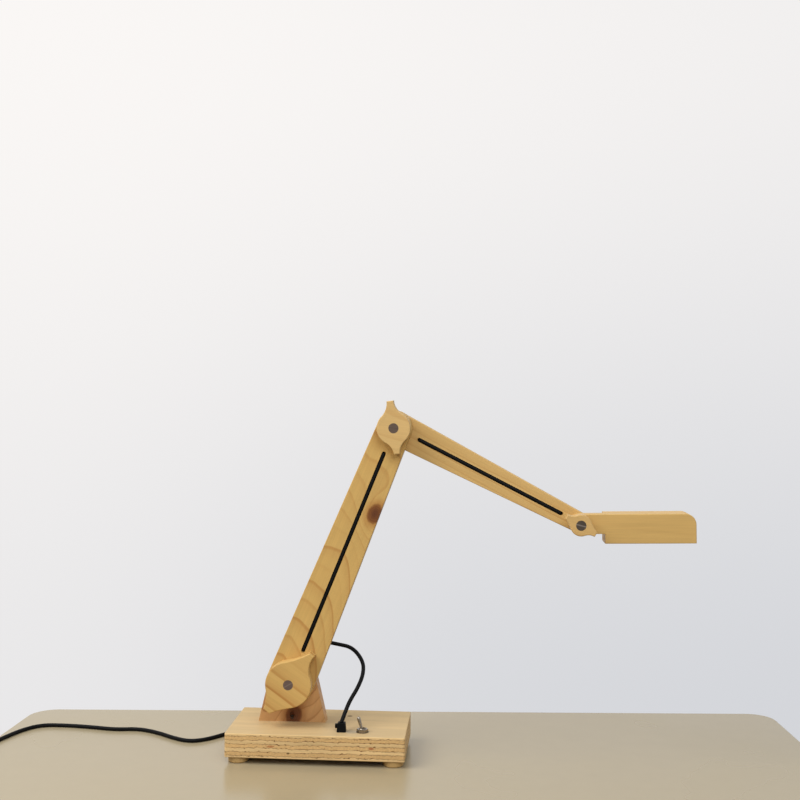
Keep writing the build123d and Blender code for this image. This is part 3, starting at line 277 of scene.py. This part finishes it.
base_loop = cord_loop("base_loop", "base_cord_loop", BASE_LOOP[::-1])
elbow_loop = cord_loop("elbow_loop", "elbow_cord_loop", ELBOW_LOOP)
head_loop = cord_loop("head_loop", "head_cord_loop", HEAD_LOOP)

# %% [markdown]
# ## Building a finish from nodes
#
# A finish could be a picture wrapped round each piece, but it would show seams and stop at the
# edges. Here every finish is worked out from the place on the piece, in metres, so it cuts through
# the solid as real grain does. A few short helpers keep the node trees readable.


# %% Adding and joining nodes
def add(tree, kind, inputs=None, **settings):
    """Adds a node with its settings, and links or sets its inputs."""
    node = tree.nodes.new(kind)
    for name, value in settings.items():
        setattr(node, name, value)
    for name, value in (inputs or {}).items():
        if isinstance(value, bpy.types.NodeSocket):
            tree.links.new(value, node.inputs[name])
        else:
            node.inputs[name].default_value = value
    return node


def calc(tree, operation, a, b=0.0, c=0.0):
    """One step of arithmetic on values."""
    return add(tree, "ShaderNodeMath", {0: a, 1: b, 2: c}, operation=operation).outputs[0]


def vector_calc(tree, operation, a, b=(0, 0, 0)):
    """One step of arithmetic on places, whose result is a place or a single value."""
    outputs = add(tree, "ShaderNodeVectorMath", {0: a, 1: b}, operation=operation).outputs
    return outputs["Value" if operation in ("LENGTH", "DOT_PRODUCT") else "Vector"]


print("node helpers ready")


# %% Shaping a value
def ease(tree, value, low, high, start=0.0, end=1.0):
    """Goes smoothly from start to end while value goes from low to high."""
    return add(tree, "ShaderNodeMapRange",
               {"Value": value, "From Min": low, "From Max": high, "To Min": start, "To Max": end},
               interpolation_type="SMOOTHSTEP").outputs[0]


def noise(tree, vector, stretch, detail=2.0, rough=0.5):
    """Noise whose scale differs along each axis, in features per metre."""
    scaled = vector_calc(tree, "MULTIPLY", vector, stretch)
    return add(tree, "ShaderNodeTexNoise", {"Vector": scaled, "Scale": 1.0, "Detail": detail,
                                            "Roughness": rough}).outputs["Fac"]


def chance(tree, number):
    """A value between 0 and 1 that is the same wherever number is the same."""
    white = add(tree, "ShaderNodeTexWhiteNoise", {"W": number}, noise_dimensions="1D")
    return white.outputs["Value"]


def swing(tree, value, amount, middle=0.0):
    """Spreads a value between 0 and 1 over an amount, half below and half above the middle."""
    return calc(tree, "MULTIPLY_ADD", value, amount, middle - amount / 2)


print("shaping helpers ready")


# %% Colours
def tone(code):
    """A colour written as six hexadecimal digits, as a linear colour for a socket."""
    parts = [int(code[i:i + 2], 16) / 255 for i in (0, 2, 4)]
    return (*((v / 12.92 if v <= 0.04045 else ((v + 0.055) / 1.055) ** 2.4) for v in parts), 1.0)


def blend_colour(tree, share, a, b, kind="MIX"):
    """Goes from colour a to colour b with the share."""
    return add(tree, "ShaderNodeMix", {0: share, 6: a, 7: b}, data_type="RGBA",
               blend_type=kind).outputs[2]


def shaded(tree, colour, shade):
    """Makes a colour lighter or darker by a factor."""
    grey = add(tree, "ShaderNodeCombineColor", {0: shade, 1: shade, 2: shade}).outputs[0]
    return blend_colour(tree, 1.0, colour, grey, "MULTIPLY")


HONEY, AMBER, KNOT_BROWN = "D2AB67", "A97438", "6A4026"
print("honey:", tuple(round(v, 3) for v in tone(HONEY)))

# %% [markdown]
# ## Pine
#
# The arms, bracket, knobs and head are pine. A board shows its growth rings because it is a slice
# of a tree. Stripes laid along the face would not turn the corner to its edge, so the finish
# starts with the tree: rings round a pith line that lies behind the board and a little askew to
# it. Where the face cuts the rings at a slant they show as arches. A knot is a branch, round which
# the rings swerve. Fine fibres and slow blotches keep the face from looking printed.


# %% Start the pine group
def start_group(name, inputs, outputs):
    """A node group with named sockets, and its inner input and output nodes' sockets."""
    group = bpy.data.node_groups.new(name, "ShaderNodeTree")
    for side, sockets in (("INPUT", inputs), ("OUTPUT", outputs)):
        for label, kind in sockets:
            group.interface.new_socket(label, in_out=side, socket_type="NodeSocket" + kind)
    given = group.nodes.new("NodeGroupInput").outputs
    return group, given, group.nodes.new("NodeGroupOutput").inputs


wood, given, result = start_group(
    "pine_grain",
    [("Vector", "Vector"), ("Pith", "Vector"), ("Askew", "Float"), ("Ring Width", "Float"),
     ("Knot", "Vector"), ("Knot Size", "Float"), ("Early Wood", "Color"), ("Late Wood", "Color"),
     ("Knot Wood", "Color"), ("Figure", "Float")],
    [("Color", "Color"), ("Roughness", "Float"), ("Height", "Float")])
place = given["Vector"]
print("pine group:", len(wood.interface.items_tree), "sockets")

# %% How near the knot is, and how far it pushes the rings aside
KNOT_SQUEEZE = (0.72, 0.35, 1)
NATURAL_BASE = 2.718
from_knot = vector_calc(wood, "SUBTRACT", place, given["Knot"])
reach = vector_calc(wood, "LENGTH", vector_calc(wood, "MULTIPLY", from_knot, KNOT_SQUEEZE))
ragged = swing(wood, noise(wood, place, (260, 120, 260)), 0.0016)
near = calc(wood, "DIVIDE", calc(wood, "ADD", reach, ragged), given["Knot Size"])
fading = calc(wood, "MULTIPLY", calc(wood, "POWER", near, 2), -0.22)
swerve = calc(wood, "MULTIPLY", calc(wood, "POWER", NATURAL_BASE, fading), given["Knot Size"])
swerve = calc(wood, "MULTIPLY", swerve, 1.3)
print("with the knot:", len(wood.nodes), "nodes")

# %% Growth rings round the pith
here = add(wood, "ShaderNodeSeparateXYZ", {0: place}).outputs
pith = add(wood, "ShaderNodeSeparateXYZ", {0: given["Pith"]}).outputs
behind = calc(wood, "SUBTRACT", here[1], pith[1])
behind = calc(wood, "MULTIPLY_ADD", here[0], given["Askew"], behind)
aside = calc(wood, "SUBTRACT", here[2], pith[2])
square = calc(wood, "ADD", calc(wood, "POWER", behind, 2), calc(wood, "POWER", aside, 2))
wander = swing(wood, noise(wood, place, (8, 30, 30), 1.5), 0.008)
radius = calc(wood, "ADD", calc(wood, "SQRT", square), wander)
radius = calc(wood, "ADD", radius, swerve)
rings = calc(wood, "DIVIDE", radius, given["Ring Width"])
print("with the rings:", len(wood.nodes), "nodes")

# %% Late wood, which darkens slowly and stops sharply in each ring
part = calc(wood, "FRACT", rings)
stop = ease(wood, part, 0.93, 1.0, 1, 0)
soft = calc(wood, "MULTIPLY", ease(wood, part, 0.1, 0.9, 0, 0.4), stop)
sharp = calc(wood, "MULTIPLY", ease(wood, part, 0.68, 0.9), stop)
strength = calc(wood, "MULTIPLY_ADD", chance(wood, calc(wood, "FLOOR", rings)), 0.75, 0.15)
late = calc(wood, "MULTIPLY", calc(wood, "MAXIMUM", soft, sharp), strength)
late = calc(wood, "MULTIPLY", late, given["Figure"])
print("with the late wood:", len(wood.nodes), "nodes")

# %% Fibres, streaks and blotches
fibre = noise(wood, place, (30, 1100, 1100), 3, 0.6)
streak = noise(wood, place, (14, 260, 260), 2)
blotch = noise(wood, place, (14, 40, 40), 2)
shade = calc(wood, "ADD", swing(wood, fibre, 0.22, 1.0), swing(wood, streak, 0.16))
shade = calc(wood, "ADD", shade, swing(wood, blotch, 0.22))
colour = blend_colour(wood, late, given["Early Wood"], given["Late Wood"])
colour = shaded(wood, colour, shade)
print("with the fibres:", len(wood.nodes), "nodes")

# %% The knot's own dark wood, its close rings and warm rim, and the group's results
halo = ease(wood, near, 0.95, 1.9, 0.55, 0)
colour = blend_colour(wood, halo, colour, given["Late Wood"])
knot_rings = calc(wood, "FRACT", calc(wood, "MULTIPLY", near, 4.5))
knot_share = calc(wood, "MULTIPLY_ADD", knot_rings, 0.45, calc(wood, "MULTIPLY", fibre, 0.6))
knot_share = calc(wood, "MULTIPLY", knot_share, ease(wood, near, 0.1, 0.9, 0.1, 0.65))
knot_colour = blend_colour(wood, knot_share, given["Knot Wood"], given["Late Wood"])
colour = blend_colour(wood, ease(wood, near, 0.8, 1.12, 1, 0), colour, knot_colour)
wood.links.new(colour, result["Color"])
wood.links.new(swing(wood, fibre, 0.18, 0.45), result["Roughness"])
wood.links.new(calc(wood, "MULTIPLY_ADD", late, 0.6, fibre), result["Height"])
print("pine group:", len(wood.nodes), "nodes")

# %% [markdown]
# Each pine piece takes the group with its own grain direction, pith and knot, because no two
# boards come from the same place in the tree. One shared material would be less work, but then the
# grain would run on from piece to piece. The Mapping node turns the pattern along the piece.


# %% Starting a finish and giving it to pieces
def new_finish(name):
    """An empty material, its tree, its Principled shader and the place on the piece."""
    finish = bpy.data.materials.new(name)
    finish.use_nodes = True
    tree = finish.node_tree
    spot = add(tree, "ShaderNodeTexCoord").outputs["Object"]
    return finish, tree, tree.nodes["Principled BSDF"], spot


def join_finish(tree, shader, group, strength, distance):
    """Joins a group's colour, roughness and height to the shader."""
    bump = add(tree, "ShaderNodeBump", {"Strength": strength, "Distance": distance,
                                        "Height": group.outputs["Height"]})
    tree.links.new(group.outputs["Color"], shader.inputs["Base Color"])
    tree.links.new(group.outputs["Roughness"], shader.inputs["Roughness"])
    tree.links.new(bump.outputs[0], shader.inputs["Normal"])


def finish_nodes(finish, *nodes):
    """Gives a finish to nodes of the frame."""
    for name in nodes:
        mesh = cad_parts[name].data
        mesh.materials.clear()
        mesh.materials.append(finish)


print("pieces to finish:", len(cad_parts))

# %% A pine finish
WOOD_GLOSS = 0.18
NO_KNOT = (9, 9, 9)


def pine(name, start, lean, pith, askew, ring, knot=NO_KNOT, knot_size=0.004, early=HONEY,
         late=AMBER, dark=KNOT_BROWN, figure=1.0):
    """Pine whose grain runs from start, leaning from upright towards the right by lean degrees."""
    finish, tree, shader, spot = new_finish(name)
    turned = add(tree, "ShaderNodeMapping", {"Vector": spot, "Location": start,
                                             "Rotation": (0, radians(lean - 90), 0)},
                 vector_type="TEXTURE").outputs[0]
    grain = add(tree, "ShaderNodeGroup", node_tree=wood)
    for label, value in (("Pith", pith), ("Askew", askew), ("Ring Width", ring), ("Knot", knot),
                         ("Knot Size", knot_size), ("Early Wood", tone(early)),
                         ("Late Wood", tone(late)), ("Knot Wood", tone(dark)), ("Figure", figure)):
        grain.inputs[label].default_value = value
    tree.links.new(turned, grain.inputs["Vector"])
    join_finish(tree, shader, grain, 0.35, 0.0001)
    shader.inputs["Specular IOR Level"].default_value = WOOD_GLOSS
    return finish


print("gloss of bare wood:", WOOD_GLOSS)

# %% Arms and bracket
base_pivot = at(BASE_PIVOT[0], BRACKET_FRONT, BASE_PIVOT[1])
elbow_pivot = at(ELBOW_PIVOT[0], BRACKET_FRONT, ELBOW_PIVOT[1])
head_pivot = at(HEAD_PIVOT[0], BRACKET_FRONT, HEAD_PIVOT[1])
bracket_knot = at(48.9, BRACKET_FRONT, 28.6)
finish_nodes(pine("pine_lower_arm", base_pivot, LOWER_LEAN, pith=(0, 0.030, 0.011), askew=-0.2,
                  ring=0.0033, knot=(0.1515, -0.012, -0.0117), knot_size=0.0060, early="CAA563",
                  late="A46A33", dark="5C3521", figure=0.65), "lower_arm")
finish_nodes(pine("pine_upper_arm", elbow_pivot, UPPER_LEAN, pith=(0, 0.022, 0.026), askew=0.03,
                  ring=0.005, early="CEA96B", figure=0.5), "upper_arm")
finish_nodes(pine("pine_bracket", bracket_knot, 14.0, pith=(0, 0.03, 0.02), askew=0.30,
                  ring=0.0045, knot=(0, 0, 0), knot_size=0.0066, early="CEA06C", late="9A6236",
                  dark="5E3A28", figure=0.75), "pivot_bracket")
print("pine finishes:", sum(m.name.startswith("pine") for m in bpy.data.materials))

# %% Knobs and head
finish_nodes(pine("pine_base_knob", base_pivot, 122.0, pith=(0, 0.016, 0.0335), askew=0.09,
                  ring=0.0085, early="CDA765", late="A3662E", figure=0.8), "base_knob")
finish_nodes(pine("pine_elbow_knob", elbow_pivot, 95.0, pith=(0, 0.03, 0.02), askew=0.12,
                  ring=0.006, early="D2AF74", figure=0.35), "elbow_knob")
finish_nodes(pine("pine_head_knob", head_pivot, 100.0, pith=(0, 0.03, 0.02), askew=0.12,
                  ring=0.006, early="CFAA6E", figure=0.35), "head_knob")
finish_nodes(pine("pine_head_front", head_pivot, 88.8, pith=(0, 0.05, 0.03), askew=0.05,
                  ring=0.007, early="CBA666", figure=0.1), "head_front")
finish_nodes(pine("pine_head_back", head_pivot, 88.8, pith=(0, -0.04, 0.02), askew=0.06,
                  ring=0.005, figure=0.4), "head_back")
print("pine finishes:", sum(m.name.startswith("pine") for m in bpy.data.materials))

# %% [markdown]
# ## Plywood
#
# The base is softwood plywood: seven plies whose grain crosses from one to the next. Real layers
# could be modelled, but the joints between them are only colour. So height alone picks the ply,
# and an uneven wave bends the joints. On the cut edges a ply shows either long streaks or rough
# end grain, and the glue lines between them are dark and uneven. The outer ply is the face that
# the hand sees, paler and quieter. The two outer plies are sanded thinner than the rest.

# %% Plies, counted from the bottom up
layers, given, result = start_group(
    "plywood_layers",
    [("Vector", "Vector"), ("Bottom", "Float"), ("Ply", "Float"), ("Plies", "Float"),
     ("Face", "Color"), ("Long", "Color"), ("End", "Color"), ("Glue", "Color")],
    [("Color", "Color"), ("Roughness", "Float"), ("Height", "Float")])
place = given["Vector"]
height = add(layers, "ShaderNodeSeparateXYZ", {0: place}).outputs[2]
flat = calc(layers, "DIVIDE", calc(layers, "SUBTRACT", height, given["Bottom"]), given["Ply"])
wave = swing(layers, noise(layers, place, (110, 110, 60), 5, 0.75), 1.5)
top = calc(layers, "SUBTRACT", given["Plies"], 0.5)
level = calc(layers, "MAXIMUM", calc(layers, "ADD", flat, wave), 0.5)
level = calc(layers, "MINIMUM", level, top)
number = calc(layers, "FLOOR", level)
part = calc(layers, "FRACT", level)
print("with the plies:", len(layers.nodes), "nodes")

# %% Streaks along and across the board, and pores
crosswise = calc(layers, "MODULO", number, 2)
along = noise(layers, place, (22, 700, 750), 3, 0.6)
across = noise(layers, place, (900, 22, 750), 3, 0.6)
streak = blend_colour(layers, crosswise, along, across)
pores = noise(layers, place, (1500, 1500, 1100), 2)
shade = calc(layers, "ADD", swing(layers, streak, 0.8, 1.01), swing(layers, pores, 0.16))
shade = calc(layers, "ADD", shade, swing(layers, chance(layers, number), 0.10))
shade = calc(layers, "ADD", shade, swing(layers, noise(layers, place, (25, 25, 25)), 0.16))
ply_colour = blend_colour(layers, crosswise, given["Long"], given["End"])
print("with the streaks:", len(layers.nodes), "nodes")

# %% Glue lines at the plies' edges, and small voids beside them
edge = calc(layers, "ABSOLUTE", calc(layers, "SUBTRACT", part, 0.5))
line = ease(layers, edge, 0.40, 0.48)
broken = ease(layers, noise(layers, place, (190, 190, 150), 3, 0.65), 0.4, 0.58)
glue = calc(layers, "MULTIPLY", line, calc(layers, "MULTIPLY_ADD", broken, 0.4, 0.48))
void = ease(layers, noise(layers, place, (420, 420, 900), 2), 0.62, 0.68)
void = calc(layers, "MULTIPLY", void, ease(layers, edge, 0.15, 0.4))
dark = calc(layers, "MAXIMUM", glue, void)
print("with the glue lines:", len(layers.nodes), "nodes")

# %% The outer plies' faces, and the group's results
outer = calc(layers, "GREATER_THAN", flat, calc(layers, "ADD", top, 0.12))
face = calc(layers, "MAXIMUM", outer, calc(layers, "LESS_THAN", flat, 0.38))
dark = calc(layers, "MULTIPLY", dark, calc(layers, "SUBTRACT", 1, face))
figure = ease(layers, noise(layers, place, (9, 85, 85), 4, 0.55), 0.35, 0.7)
face_colour = blend_colour(layers, calc(layers, "MULTIPLY", figure, 0.35), given["Face"],
                           given["Long"])
quiet = calc(layers, "MULTIPLY", shade, calc(layers, "MULTIPLY_ADD", face, -0.6, 1))
quiet = calc(layers, "ADD", quiet, calc(layers, "MULTIPLY", face, 0.61))
colour = shaded(layers, blend_colour(layers, face, ply_colour, face_colour), quiet)
colour = blend_colour(layers, dark, colour, given["Glue"])
sunk = calc(layers, "MULTIPLY", dark, 0.8)
relief = calc(layers, "SUBTRACT", calc(layers, "MULTIPLY", streak, 0.5), sunk)
layers.links.new(colour, result["Color"])
layers.links.new(calc(layers, "MULTIPLY_ADD", dark, 0.25, 0.55), result["Roughness"])
layers.links.new(relief, result["Height"])
print("plywood group:", len(layers.nodes), "nodes")


# %% A plywood finish
def plywood(name, bottom, ply, plies, face="BEA479", marks_and_shadow=()):
    """Plywood from its bottom up; its marks and painted shadows are ellipses: middle, half sizes,
    colour and strength.
    """
    finish, tree, shader, spot = new_finish(name)
    stack = add(tree, "ShaderNodeGroup", node_tree=layers)
    for label, value in (("Bottom", bottom), ("Ply", ply), ("Plies", plies), ("Face", tone(face)),
                         ("Long", tone("D8B884")), ("End", tone("CFAA74")),
                         ("Glue", tone("6B4528"))):
        stack.inputs[label].default_value = value
    tree.links.new(spot, stack.inputs["Vector"])
    join_finish(tree, shader, stack, 0.6, 0.0003)
    colour = stack.outputs["Color"]
    # each ellipse lays a stain or the painted shadow into the colour
    for middle, reach, stain_and_shadow_colour, strength in marks_and_shadow:
        away = vector_calc(tree, "DIVIDE", vector_calc(tree, "SUBTRACT", spot, middle), reach)
        share = ease(tree, vector_calc(tree, "LENGTH", away), 0.6, 1.1, strength, 0)
        colour = blend_colour(tree, share, colour, tone(stain_and_shadow_colour))
    tree.links.new(colour, shader.inputs["Base Color"])
    shader.inputs["Specular IOR Level"].default_value = WOOD_GLOSS
    return finish


print("a plywood finish joins a group of", len(layers.nodes), "nodes")

# %% [markdown]
# A real board carries marks: here two resin patches and a knot hole on the front edge, and a short
# slit in the top. Beside the switch a faint grey patch is painted shadow, cast by the cord grip.
# The marks could be cut into the mesh, but they are flat or very small, so soft ellipses in the
# colour are enough, and the shadow is one more ellipse. The cover is thinner, darker plywood.

# %% Base board and cover
BOARD_MARKS_AND_SHADOW = (
    (at(36.7, 0, 14.5), (0.0036, 0.002, 0.0009), "A0552C", 0.65),
    (at(115.7, 0, 15.0), (0.0026, 0.002, 0.0010), "9C4A26", 0.7),
    (at(50.6, 0, 9.5), (0.0013, 0.002, 0.0009), "4A3018", 0.8),
    (at(92.6, 57.4, 24), (0.0025, 0.0018, 0.002), "5A3C18", 1.0),
    # painted shadow of the cord grip, falling on the top beside the switch
    (at(99.5, 13.2, 24), (0.0075, 0.0050, 0.002), "8D8372", 0.6),
)
finish_nodes(plywood("plywood_base", bottom=0.004, ply=0.003, plies=7.0, marks_and_shadow=BOARD_MARKS_AND_SHADOW),
             "base_board")
finish_nodes(plywood("plywood_cover", bottom=0.005, ply=0.001, plies=3.0, face="8A6B45"),
             "cavity_cover")
print("surface marks:", len(BOARD_MARKS_AND_SHADOW))

# %% [markdown]
# ## Feet, metal, plastic and rubber
#
# The small parts are turned wood, sawn and plated steel, moulded plastic and rubber. One flat
# colour each would look like toys, because none of them is quite even. They share one group with a
# fine grain in tone, gloss and surface, and each stretches and weighs it in its own way.

# %% Fine grain group
fine, given, result = start_group(
    "fine_grain",
    [("Vector", "Vector"), ("Grain", "Vector"), ("Color", "Color"), ("Variation", "Float"),
     ("Roughness", "Float")],
    [("Color", "Color"), ("Roughness", "Float"), ("Height", "Float")])
speck = noise(fine, given["Vector"], given["Grain"], 3, 0.6)
slow = noise(fine, given["Vector"], (60, 60, 60), 2)
uneven = calc(fine, "SUBTRACT", calc(fine, "ADD", speck, slow), 1.0)
shade = calc(fine, "MULTIPLY_ADD", uneven, given["Variation"], 1.0)
fine.links.new(shaded(fine, given["Color"], shade), result["Color"])
fine.links.new(calc(fine, "ADD", swing(fine, speck, 0.2), given["Roughness"]), result["Roughness"])
fine.links.new(speck, result["Height"])
print("fine grain group:", len(fine.nodes), "nodes")


# %% A plain finish
def plain(name, colour, roughness, metallic=0.0, grain=(900, 900, 900), variation=0.12,
          relief=0.00004, specular=0.5):
    """An even finish with a fine grain in its tone, gloss and surface."""
    finish, tree, shader, spot = new_finish(name)
    grained = add(tree, "ShaderNodeGroup", node_tree=fine)
    for label, value in (("Grain", grain), ("Color", tone(colour)), ("Variation", variation),
                         ("Roughness", roughness)):
        grained.inputs[label].default_value = value
    tree.links.new(spot, grained.inputs["Vector"])
    join_finish(tree, shader, grained, 0.5, relief)
    shader.inputs["Metallic"].default_value = metallic
    shader.inputs["Specular IOR Level"].default_value = specular
    return finish


finish_nodes(plain("turned_wood", "B8965F", 0.5, grain=(90, 90, 1600), variation=0.3),
             "foot_front_left", "foot_front_right", "foot_back_left", "foot_back_right")
print("finishes with the feet:", len(bpy.data.materials))

# %% [markdown]
# The studs are sawn off flush with the knobs. A hacksaw leaves fine lines on the end and one
# deeper score across it. The score is far too shallow for the mesh, so it is drawn into the
# colour.

# %% Sawn stud ends
score, given, result = start_group(
    "saw_line",
    [("Vector", "Vector"), ("Place", "Vector"), ("Across", "Vector"), ("Color", "Color"),
     ("Line", "Color")],
    [("Color", "Color")])
away = vector_calc(score, "SUBTRACT", given["Vector"], given["Place"])
away = calc(score, "ABSOLUTE", vector_calc(score, "DOT_PRODUCT", away, given["Across"]))
share = ease(score, away, 0.0003, 0.0006, 0.7, 0)
score.links.new(blend_colour(score, share, given["Color"], given["Line"]), result["Color"])

for name, stud_place, colour, line_colour, lean in (
        ("base_stud", base_pivot, "70605A", "8A7A70", radians(-30)),
        ("elbow_stud", elbow_pivot, "62544A", "5A4C42", radians(10)),
        ("head_stud", head_pivot, "4E463E", "8A8078", radians(14))):
    sawn = plain("sawn_" + name, colour, 0.5, metallic=0.9, grain=(120, 900, 3200), variation=0.45,
                 relief=0.0001)
    base_colour = sawn.node_tree.nodes["Principled BSDF"].inputs["Base Color"]
    spot = add(sawn.node_tree, "ShaderNodeTexCoord").outputs["Object"]
    scored = add(sawn.node_tree, "ShaderNodeGroup", node_tree=score)
    scored.inputs["Place"].default_value = stud_place
    scored.inputs["Across"].default_value = (sin(lean), 0, cos(lean))
    scored.inputs["Line"].default_value = tone(line_colour)
    sawn.node_tree.links.new(spot, scored.inputs["Vector"])
    sawn.node_tree.links.new(base_colour.links[0].from_socket, scored.inputs["Color"])
    sawn.node_tree.links.new(scored.outputs["Color"], base_colour)
    finish_nodes(sawn, name)
print("finishes:", len(bpy.data.materials))

# %% [markdown]
# The nuts and screws are zinc plated and a little dull. The switch's collar and lever and the
# plug's shell are nickel plated, smoother and warmer. A grey paint would stay flat when the lamp
# is turned. Both are fully metallic, so that they show the wall and the wood around them.

# %% Zinc and nickel
zinc = plain("zinc_steel", "A8A7A0", 0.34, metallic=1.0, variation=0.2)
finish_nodes(zinc, "base_nut", "elbow_nut", "head_nut", "bracket_screws", "cover_screws",
             "toe_screw", "joint_block_screws", "led_board_screws")
nickel = plain("nickel_plate", "938B80", 0.24, metallic=1.0, grain=(300, 300, 300), variation=0.08,
               relief=0.00001)
finish_nodes(nickel, "switch_bushing", "switch_washer", "switch_nut", "toggle_lever", "plug_shell")
print("finishes:", len(bpy.data.materials))

# %% [markdown]
# The cable's sheath is soft black plastic, nearly matt. With the usual gloss its sides would shine
# against the pale wall and look thin, so its specular level is low. The cable in the grooves and
# the free lengths share one finish, and so they read as one cable.

# %% Cable
cable = plain("cable_sheath", "0B0B0C", 0.5, grain=(1800, 1800, 1800), relief=0.000004,
              specular=0.09)
finish_nodes(cable, "arm_cord_tail", "supply_cord_tail", "lower_arm_cord", "upper_arm_cord",
             "head_cord_tail")
for piece in (supply_lead, base_loop, elbow_loop, head_loop):
    piece.data.materials.clear()
    piece.data.materials.append(cable)
print("finishes:", len(bpy.data.materials))

# %% [markdown]
# The cord grip and the plug's grip are hard black nylon, and the bush in the back edge is rubber.
# The switch body, terminals, leads and light are hidden inside. One grey for all of them would do
# from outside, but someone may take the lamp apart, so each has its own finish.

# %% Plastic, rubber, brass and the light itself
finish_nodes(plain("black_nylon", "0B0B0B", 0.5, relief=0.00003, specular=0.08), "strain_relief",
             "plug_grip")
finish_nodes(plain("black_rubber", "1B1B1B", 0.7), "back_grommet")
finish_nodes(plain("switch_case", "22406E", 0.45), "switch_body")
finish_nodes(plain("brass", "C9AE6A", 0.3, metallic=1.0), "switch_terminals")
finish_nodes(plain("white_nylon", "DAD9D0", 0.5), "joint_block", "plug_tongue")
finish_nodes(plain("lead_red", "96201C", 0.45), "switch_leads", "head_leads")
finish_nodes(plain("board_white", "E3E3DE", 0.4), "led_board")
finish_nodes(plain("led_phosphor", "E0C35A", 0.3), "led_chips")
finish_nodes(plain("opal_diffuser", "E9E8E2", 0.45, variation=0.03), "diffuser")
print("finishes:", len(bpy.data.materials))

# %% [markdown]
# ## The table
#
# The lamp stands near the back of a plain table top. A bare plane would end in a knife edge, so
# the table is a slab with round corners and a softened rim. A second slab beside it carries the
# coil.

# %% Table
TABLE_CORNERS = ((-205.6, 138.8), (466.0, 189.5), (520.0, -700.0), (-203.0, -700.0))
SIDE_TABLE_CORNERS = ((-620.0, 36.0), (-205.5, 36.0), (-203.5, -700.0), (-620.0, -700.0))
CORNER_ROUNDING, SLAB_THICKNESS, RIM_ROUNDING = 0.022, 0.028, 0.002


def table_top(name, corners, finish):
    """A slab with round corners and a softened rim, its top at the lamp's feet."""
    shape = bmesh.new()
    shape.faces.new([shape.verts.new(at(x, y, 0)) for x, y in corners])
    bmesh.ops.bevel(shape, geom=shape.verts[:], offset=CORNER_ROUNDING, affect="VERTICES",
                    segments=8, profile=0.5, material=-1)
    lower = bmesh.ops.extrude_face_region(shape, geom=shape.faces[:])["geom"]
    for corner in lower:
        if isinstance(corner, bmesh.types.BMVert):
            corner.co.z -= SLAB_THICKNESS
    bmesh.ops.recalc_face_normals(shape, faces=shape.faces[:])
    rim = [edge for edge in shape.edges if all(v.co.z > -SLAB_THICKNESS / 2 for v in edge.verts)]
    bmesh.ops.bevel(shape, geom=rim, offset=RIM_ROUNDING, affect="EDGES", segments=4, profile=0.5,
                    material=-1)
    mesh = bpy.data.meshes.new(name)
    shape.to_mesh(mesh)
    shape.free()
    slab = show(bpy.data.objects.new(name, mesh))
    slab.data.materials.append(finish)
    print(name, len(mesh.vertices), "corners")


laminate = plain("table_laminate", "A5977A", 0.25, grain=(7, 7, 7), variation=0.05, relief=0.0)
table_top("table_top", TABLE_CORNERS, laminate)
table_top("side_table_top", SIDE_TABLE_CORNERS, laminate)

# %% [markdown]
# ## The wall
#
# Behind the table is a pale wall. A modelled wall would catch the lamp's shadow, so the wall is
# the world's own colour. The camera and shiny faces see it, and the table shows a soft reflection
# of it and of the base. To all other rays the room is dimmer and slightly blue, brighter from
# above.

# %% Wall and room
scene = bpy.context.scene
scene.view_settings.view_transform = "Standard"
scene.world = bpy.data.worlds.new("pale_room")
scene.world.use_nodes = True
room = scene.world.node_tree
room.nodes.clear()
toward = add(room, "ShaderNodeTexCoord").outputs["Generated"]
sideways, _, upwards = add(room, "ShaderNodeSeparateXYZ", {0: toward}).outputs
# painted shade: the wall darkens slightly downwards and to the right, away from the window
low = ease(room, upwards, -0.32, 0.32, 0.75, 0)
low = calc(room, "MULTIPLY", low, ease(room, sideways, -0.42, 0.0, 0.62, 1))
dim = calc(room, "ADD", low, ease(room, sideways, -0.4, 0.4, 0, 0.25))
wall = blend_colour(room, dim, tone("FAF7F5"), tone("D2D4D9"))
rays = add(room, "ShaderNodeLightPath").outputs
seen = calc(room, "MAXIMUM", rays["Is Camera Ray"], rays["Is Transmission Ray"])
seen = calc(room, "MAXIMUM", seen, rays["Is Glossy Ray"])
glow = ease(room, upwards, 0.0, 0.9, 0.2, 0.62)
lit = add(room, "ShaderNodeBackground", {"Color": (0.93, 0.965, 1.0, 1), "Strength": glow})
plainly = add(room, "ShaderNodeBackground", {"Color": wall, "Strength": 1.0})
mixed = add(room, "ShaderNodeMixShader", {0: seen, 1: lit.outputs[0], 2: plainly.outputs[0]})
add(room, "ShaderNodeOutputWorld", {"Surface": mixed.outputs[0]})
print("room:", len(room.nodes), "nodes")

# %% [markdown]
# ## The light
#
# A wide soft lamp to the upper left acts as a window, and a weaker one in front fills the shadows.
# A sun would give hard shadows, which a room with one large window doesn't have.


# %% Lamps
def soft_lamp(name, place, aim, width, power, colour):
    """A round area lamp at a place, aimed at another."""
    lamp = bpy.data.lights.new(name, "AREA")
    lamp.shape = "DISK"
    lamp.size = width
    lamp.energy = power
    lamp.color = colour
    obj = show(bpy.data.objects.new(name, lamp))
    obj.location = place
    obj.rotation_mode = "QUATERNION"
    obj.rotation_quaternion = (Vector(aim) - Vector(place)).to_track_quat("-Z", "Y")


soft_lamp("window", place=(-0.9, -0.5, 1.2), aim=(0, 0, 0.12), width=1.1, power=17.0,
          colour=(1.0, 0.975, 0.94))
soft_lamp("fill", place=(0.4, -1.25, 1.1), aim=(0, 0, 0.15), width=1.0, power=10.5,
          colour=(0.96, 0.98, 1.0))
